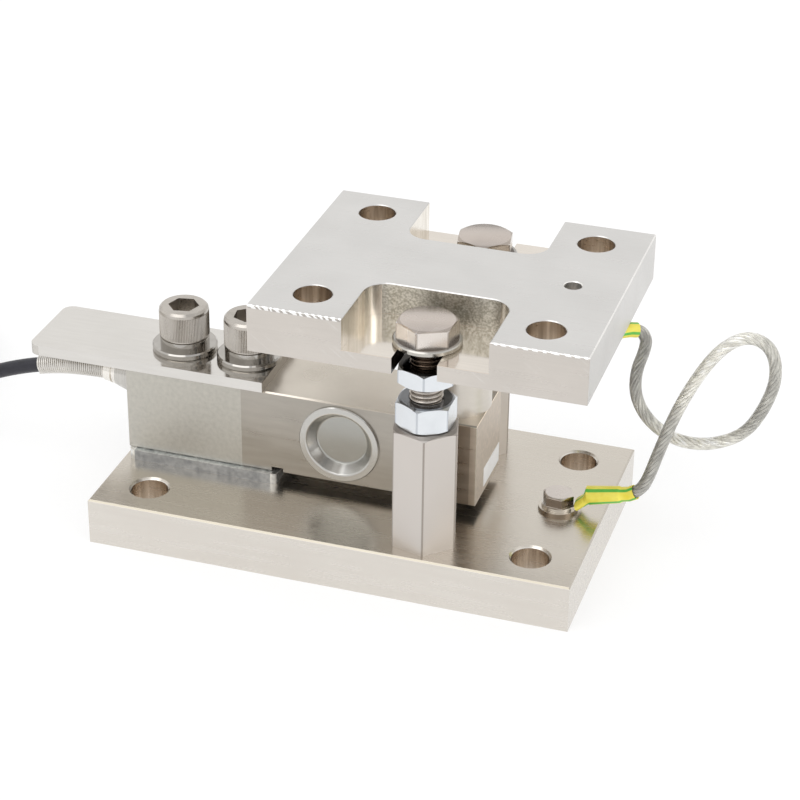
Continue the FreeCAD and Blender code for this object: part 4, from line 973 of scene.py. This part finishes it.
def mark_around(mesh, axis, turn):
    """Leave on each point the direction in which it lies round the axis, from the first stripe's own."""
    directions = []
    for vertex in mesh.vertices:
        foot, way = nearest_on(axis, vertex.co)
        side = way.cross(UP).normalized()
        outward = (vertex.co - foot).normalized()
        angle = math.atan2(outward.dot(side), outward.dot(side.cross(way))) - turn
        directions += (math.cos(angle), math.sin(angle), 0.0)
    mesh.attributes.new("around", "FLOAT_VECTOR", "POINT").data.foreach_set("vector", directions)


print(f"{len(SLEEVE_AXES)} sleeves with an axis of their own")

# %% Stripes
STRIPE_COUNT = 4
STRIPE_EDGE = (0.62, 0.76)


def sleeve_finish():
    """Yellow shrink tube with green stripes along it and the slight wrinkles of shrinking."""
    material, tree = new_finish("striped_sleeve")
    x, y, _ = split(tree, attribute(tree, "around", "Vector"))
    wave = calc(tree, "COSINE", calc(tree, "MULTIPLY", calc(tree, "ARCTAN2", y, x), STRIPE_COUNT))
    worn = noise(tree, 4.0, detail=4.0)
    yellow = graded(tree, worn, (0.84, 0.72, 0.06), (0.94, 0.84, 0.14))
    green = graded(tree, worn, (0.09, 0.46, 0.06), (0.15, 0.58, 0.09))
    colour = tint(tree, fit(tree, wave, 0.0, 1.0, *STRIPE_EDGE), yellow, green)
    return end_finish(material, colour, fit(tree, worn, 0.32, 0.48), noise(tree, 1.6, detail=2.0), 0.12 * MM)


shrink_tube = sleeve_finish()
for node, axis in SLEEVE_AXES.items():
    sleeve = merged_copy(f"{node}_striped", node)
    mark_around(sleeve.data, [Vector(point) * MM for point in axis], STRIPE_TURNS[node])
    shade_by_angle(sleeve.data, shrink_tube)
    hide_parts(node)
    print(f"{sleeve.name}: {len(sleeve.data.vertices)} points marked")

# %% [markdown]
# ## The top plate
# The cutter left an even top, faint slanting marks on the sides, a torn burr along the upper edge, mirror
# ledges in the pockets and a speckled wall behind them. One finish has them all, each within its own
# limits, and painted shade on the sides and in the bolt slot. The burr is a row of small leaning teeth: a
# sawtooth of the place along the edge, a little unsettled by noise, drawn as painted glints on the teeth
# over a row of painted shade. It is tall and dark left of the pocket, and low and faint right of it. The
# right end's upper edge gets a painted highlight.

# %% Burr of the top plate
BURRS = (
    dict(ends=(-26.0, 7.0), foot=106.5, pitch=2.5, shade=0.73),
    dict(ends=(59.0, 92.0), foot=107.0, pitch=3.4, shade=0.93),
)
BURR_DEEP = (-50.1, -49.4)
BURR_TOP = 107.8
TOOTH_SHARE = 0.5
TOOTH_WANDER = 6 * MM
TOOTH_GLINT = (0.90, 0.895, 0.88)


def teeth(tree, pitch):
    """Teeth that lean along X, with a pitch in millimetres: 1 on a tooth and 0 in the gap after it."""
    x, _, z = split(tree, on_piece(tree))
    wander = calc(tree, "MULTIPLY", noise(tree, 5.0), TOOTH_WANDER)
    run = calc(tree, "ADD", calc(tree, "ADD", x, z), wander)
    return calc(tree, "LESS_THAN", calc(tree, "FRACT", calc(tree, "DIVIDE", run, pitch * MM)), TOOTH_SHARE)


def burred(tree, colour):
    """The plate's colour with the burr along its near upper edge, as painted glints on its teeth over a row
    of painted shade.
    """
    for burr in BURRS:
        row = inside(tree, x=burr["ends"], y=BURR_DEEP, z=(burr["foot"], BURR_TOP))
        tooth = calc(tree, "MULTIPLY", row, teeth(tree, burr["pitch"]))
        # Painted shade along the burr's row, then painted glints on its teeth.
        colour = dye(tree, row, colour, (burr["shade"],) * 3)
        colour = tint(tree, tooth, colour, TOOTH_GLINT)
    return colour


print(f"{len(BURRS)} rows of burr")

# %% Cuts of the top plate
CUTTER_SLANT = math.radians(38)
HOLE_WALL = (0.0, 7.0)
POCKET = (7.0, 59.0)
TOP_SIDES = dict(away=(49.95, 50.05), z=(90.0, 107.5))
POCKET_WALLS = dict(x=POCKET, away=(18.5, 49.9), z=(96.16, 107.3))
POCKET_BACK = dict(x=POCKET, away=(18.5, 19.8), z=(96.16, 107.3))
POCKET_LEDGE = dict(x=POCKET, away=(18.5, 50.1), z=(95.9, 96.16))
BOLT_SLOT_SHADE = dict(x=(24.0, 42.0), away=(26.5, 49.9), z=(90.2, 95.9))
TOP_DRILLED = dict(axes=(33.0, 41.0, 35.0), radius=HOLE_WALL, z=(90.5, 107.35))
TOP_TAPPED = dict(axes=(74.3, 0.0, 0.0), radius=(0.0, 3.5), z=(90.5, 107.65))
END_EDGE_HIGHLIGHT = dict(x=(92.1, 92.6), z=(107.3, 107.75))
END_FACE = dict(x=(92.3, 93.0))
END_GLOSS, WALL_GLOSS, BACK_GLOSS = 0.5, 0.26, 0.4
MARK_HEIGHT = 1.5


def cutter_marks(tree, side):
    """Faint slanting marks on the plate's sides, in patches."""
    slant = noise(tree, (70.0, 70.0, 0.9), detail=2.0, lean=CUTTER_SLANT)
    faint = fit(tree, noise(tree, (9.0, 9.0, 5.0)), 0.0, 0.3, 0.5, 0.7)
    return calc(tree, "MULTIPLY", fit(tree, slant, 0.0, 1.0, 0.58, 0.7), calc(tree, "MULTIPLY", faint, side))


def pocket_wall(tree, torn, back):
    """Upright streaks on a pocket's sides, and a speckled wall at its back."""
    upright = graded(tree, noise(tree, (2.6, 2.6, 26.0)), (0.70, 0.65, 0.57), (0.99, 0.95, 0.88))
    return tint(tree, back, upright, tint(tree, torn, (0.42, 0.40, 0.34), (0.74, 0.72, 0.66)))


print(f"pocket {POCKET[1] - POCKET[0]:.0f} mm wide")


# %% Top plate
def top_plate_finish():
    """Nickel on milled steel, with a finish of its own for each cut, and painted light on the sides, the
    burr, the end edge and the bolt slot.
    """
    material, tree = new_finish("nickel_top", METAL)
    grain = noise(tree, (25.0, 1.1, 1.1), detail=5.0)
    clouds = noise(tree, 22.0, detail=4.0)
    colour = graded(tree, between(tree, 0.6, grain, clouds), (0.63, 0.62, 0.605), (0.71, 0.70, 0.685))
    side = inside(tree, **TOP_SIDES)
    marks = cutter_marks(tree, side)
    # Painted shade: the front and back sides darker and warmer than the top.
    colour = dye(tree, side, colour, (0.895, 0.85, 0.806))
    colour = burred(tree, tint(tree, marks, colour, (0.78, 0.77, 0.75)))
    wall = inside(tree, **POCKET_WALLS)
    back = inside(tree, **POCKET_BACK)
    torn = fit(tree, noise(tree, (0.75, 0.75, 0.65), detail=2.0), 0.0, 1.0, 0.36, 0.64)
    colour = tint(tree, wall, colour, pocket_wall(tree, torn, back))
    colour = tint(tree, inside(tree, **TOP_DRILLED), colour, hole_wall(tree))
    colour = tint(tree, inside(tree, **TOP_TAPPED), colour, (0.93, 0.91, 0.88))
    # Painted highlight on the upper edge of the right end.
    colour = dye(tree, inside(tree, **END_EDGE_HIGHLIGHT), colour, (1.35, 1.35, 1.35))
    ledge = inside(tree, **POCKET_LEDGE)
    colour = dye(tree, ledge, colour, (1.06, 1.0, 0.93))
    # Painted shade: the bolt slot under the ledge is near black.
    colour = tint(tree, inside(tree, **BOLT_SLOT_SHADE), colour, (0.05, 0.042, 0.035))
    gloss = between(tree, ledge, fit(tree, grain, 0.26, 0.38), fit(tree, clouds, 0.06, 0.14))
    gloss = between(tree, inside(tree, **END_FACE), gloss, END_GLOSS)
    gloss = between(tree, wall, gloss, between(tree, back, WALL_GLOSS, BACK_GLOSS))
    fine = calc(tree, "MULTIPLY", grain, calc(tree, "SUBTRACT", 1.0, ledge))
    rough = calc(tree, "ADD", calc(tree, "MULTIPLY", marks, MARK_HEIGHT), calc(tree, "MULTIPLY", torn, back))
    return end_finish(material, colour, gloss, calc(tree, "ADD", fine, rough), 0.02 * MM)


nickel_top = top_plate_finish()
give(nickel_top, "top_plate")
print(f"top plate finish of {len(nickel_top.node_tree.nodes)} nodes")

# %% [markdown]
# ## The beam and its gland
# The beam was blasted grey where it is clamped and ground towards the load, where a warm tone stayed. Two
# patterns meet at a straight line there, so one finish with a limit along X tells them apart. The gland is
# turned.

# %% Load cell
CELL_FREE = dict(x=(-43.0, 45.9))
CELL_TONE_AND_HIGHLIGHTS = (
    # Painted highlights along the top and on strips of the side faces near the end; the end face is a warmer
    # tone.
    ((1.55, 1.53, 1.5), dict(z=(54.4, 55.5))),
    ((1.14, 1.05, 1.0), dict(x=(45.9, 46.1))),
    ((1.4, 1.3, 1.22), dict(x=(38.0, 43.6), away=(15.8, 16.0))),
    ((1.9, 1.8, 1.7), dict(x=(43.6, 45.95), y=(-16.0, -15.8))),
)
FERRULE = dict(x=(-104.0, -98.0))


def cell_finish():
    """The beam: blasted grey where it is clamped, and ground with a warm tone towards the load."""
    material, tree = new_finish("satin_cell", METAL)
    grain = noise(tree, (16.0, 16.0, 2.0), detail=4.0)
    mottle = noise(tree, 1.6, detail=4.0)
    clouds = noise(tree, 20.0, detail=4.0)
    clamped = graded(tree, mottle, (0.50, 0.485, 0.44), (0.61, 0.59, 0.54))
    warm = graded(tree, between(tree, 0.5, grain, clouds), (0.345, 0.32, 0.283), (0.445, 0.415, 0.373))
    free = inside(tree, **CELL_FREE)
    colour = spotted(tree, tint(tree, free, clamped, warm), CELL_TONE_AND_HIGHLIGHTS)
    gloss = between(tree, free, fit(tree, mottle, 0.46, 0.6), fit(tree, grain, 0.26, 0.4))
    return end_finish(material, colour, gloss, between(tree, free, mottle, grain), 0.003 * MM)


def gland_finish():
    """Nickel plated gland, with a bright turned ferrule at its end."""
    material, tree = new_finish("gland_nickel", METAL)
    turned = noise(tree, (0.9, 12.0, 12.0), detail=4.0)
    dull = graded(tree, turned, (0.50, 0.485, 0.455), (0.64, 0.62, 0.585))
    bright = graded(tree, turned, (0.80, 0.77, 0.72), (0.92, 0.89, 0.84))
    colour = tint(tree, inside(tree, **FERRULE), dull, bright)
    return end_finish(material, colour, fit(tree, turned, 0.18, 0.32), turned, 0.02 * MM)


give(cell_finish(), "load_cell_body")
give(gland_finish(), "cable_gland")
print("beam and gland have their finishes")

# %% [markdown]
# ## Finishes for the other metal
# The rest is plated, turned or blasted metal with one finish each, so the first helper and a table are
# enough. The grain runs the way each piece was worked: along a plate that was ground, up a bar that was
# drawn. Most spots are painted light: painted highlights on ends and rims, and painted shade on corner
# lines, tops, hollows and next to other parts.

# %% Other metal
OTHER_METAL = {
    "nickel_base": dict(
        pieces=["base_plate"], light=(0.72, 0.685, 0.635), dark=(0.67, 0.63, 0.58), gloss=(0.24, 0.29),
        grain=(30.0, 2.2, 2.2), depth=0.0006 * MM,
        holes=dict(axes=(0.0, 72.0, 35.0), radius=HOLE_WALL, z=(0.5, 17.1)),
        # Painted shade: the top face darker, and the front and back upper edges dimmed.
        spots=[((0.88, 0.865, 0.835), dict(z=(17.5, 18.5))),
               ((0.7, 0.69, 0.64), dict(z=(17.4, 17.98), away=(49.4, 50.1)))]),
    "zinc_spacer": dict(
        pieces=["spacer_plate"], light=(0.56, 0.575, 0.59), dark=(0.22, 0.235, 0.26), gloss=(0.3, 0.5),
        grain=1.6, clouds=4.0,
        # Painted highlights on both ends and along the top face.
        spots=[((2.0, 1.92, 1.78), dict(x=(-88.0, -85.2))), ((2.0, 1.95, 1.88), dict(x=(-31.4, -28.9))),
               ((1.6, 1.6, 1.55), dict(z=(21.9, 22.1)))]),
    "pressed_cup": dict(
        pieces=["gauge_cup_front", "gauge_cup_rear"], light=(0.56, 0.55, 0.525), dark=(0.52, 0.51, 0.485),
        gloss=(0.2, 0.26), grain=14.0, depth=0.001 * MM,
        # Painted shade deep in the cup.
        spots=[((0.74, 0.75, 0.74), dict(away=(11.5, 13.1)))]),
    "guard_sheet": dict(
        pieces=["cable_guard_plate"], light=(0.70, 0.68, 0.65), dark=(0.64, 0.62, 0.59), gloss=(0.09, 0.19),
        grain=(16.0, 1.4, 1.4), depth=0.006 * MM, matt=dict(x=(-127.0, -122.4), z=(54.0, 58.9)),
        spots=[((0.5, 0.47, 0.44), dict(x=(-34.35, -34.0)))]),
    "washer_bright": dict(
        pieces=["mounting_flat_washers", "mounting_spring_washers"], light=(0.50, 0.48, 0.45),
        dark=(0.38, 0.36, 0.335), gloss=(0.06, 0.14), grain=3.3, depth=0.01 * MM),
    "washer_dark": dict(
        pieces=["hold_down_washers"], light=(0.44, 0.425, 0.40), dark=(0.34, 0.325, 0.305),
        gloss=(0.18, 0.28), grain=3.3,
        # Painted highlight on the outer rim, and painted shadow under the bolt head.
        spots=[((1.3, 1.3, 1.27), dict(axes=BOLT_AXES, radius=(11.6, 12.5))),
               ((0.35, 0.32, 0.3), dict(axes=BOLT_AXES, radius=(0.0, 10.8)))]),
    "ground_seat": dict(
        pieces=["load_seat", "load_ball", "upper_cup"], light=(0.72, 0.68, 0.625), dark=(0.63, 0.59, 0.535),
        gloss=(0.34, 0.44), grain=(5.0, 5.0, 1.4)),
    "nut_zinc": dict(
        pieces=["jack_nuts", "lock_nuts"], light=(0.81, 0.835, 0.86), dark=(0.68, 0.705, 0.735),
        gloss=(0.14, 0.26), grain=5.0,
        # Painted shade on the corner lines, on the lock nuts' tops and, darkest, on the jack nuts' tops in
        # the slot.
        spots=[((0.74, 0.75, 0.77), dict(axes=BOLT_AXES, radius=HEX_CORNERS)),
               ((0.4, 0.4, 0.41), dict(z=(74.6, 75.5))), ((0.12, 0.11, 0.1), dict(z=(88.2, 89.0)))]),
    "standoff_nickel": dict(
        pieces=["hex_standoffs"], light=(0.635, 0.595, 0.56), dark=(0.62, 0.58, 0.545), gloss=(0.42, 0.45),
        grain=(3.0, 3.0, 40.0), depth=0.0005 * MM,
        # Painted shade on the corner lines.
        spots=[((0.6, 0.58, 0.56), dict(axes=BOLT_AXES, radius=(12.5, 13.5))),
               ((0.66, 0.65, 0.64), dict(z=(64.2, 65.2)))]),
    "ground_screw": dict(
        pieces=["ground_screw_base", "ground_screw_top"], light=(0.66, 0.61, 0.57), dark=(0.56, 0.51, 0.47),
        # Painted shade on the sides of the head.
        gloss=(0.22, 0.34), grain=5.0, depth=0.004 * MM, spots=[((0.34, 0.30, 0.26), dict(z=(20.6, 23.9)))]),
    "ground_washer": dict(
        pieces=["ground_washer_base", "ground_washer_top"], light=(0.68, 0.63, 0.56), dark=(0.56, 0.51, 0.45),
        # Painted shade: the washer darker under the screw head.
        gloss=(0.24, 0.38), grain=3.3, depth=0.006 * MM, spots=[((0.5, 0.45, 0.4), dict(z=(17.9, 19.2)))]),
    "tinned_lug": dict(
        pieces=["ground_lug_base", "ground_lug_top"], light=(0.80, 0.77, 0.72), dark=(0.68, 0.65, 0.60),
        gloss=(0.25, 0.4), grain=3.3),
}
for name, look in OTHER_METAL.items():
    worked_metal(name, **look)
print(f"{len(OTHER_METAL)} finishes for the other metal")

# %% [markdown]
# ## Label and gauges
# The end of the beam has a bare white label, and behind the cups sit amber gauges. Neither is metal, so
# both are made as the ties' nylon was.

# %% Label and gauges
label_film = moulded("bare_label", 6.0, (0.88, 0.88, 0.87), (0.96, 0.96, 0.955), (0.42, 0.56), 0.05 * MM)
give(label_film, "end_label")
gauge_amber = moulded("gauge_amber", 1.1, (0.45, 0.24, 0.05), (0.62, 0.38, 0.1), (0.24, 0.38))
give(gauge_amber, "strain_gauge_front", "strain_gauge_rear")
print(f"{len(bpy.data.materials)} materials in all")
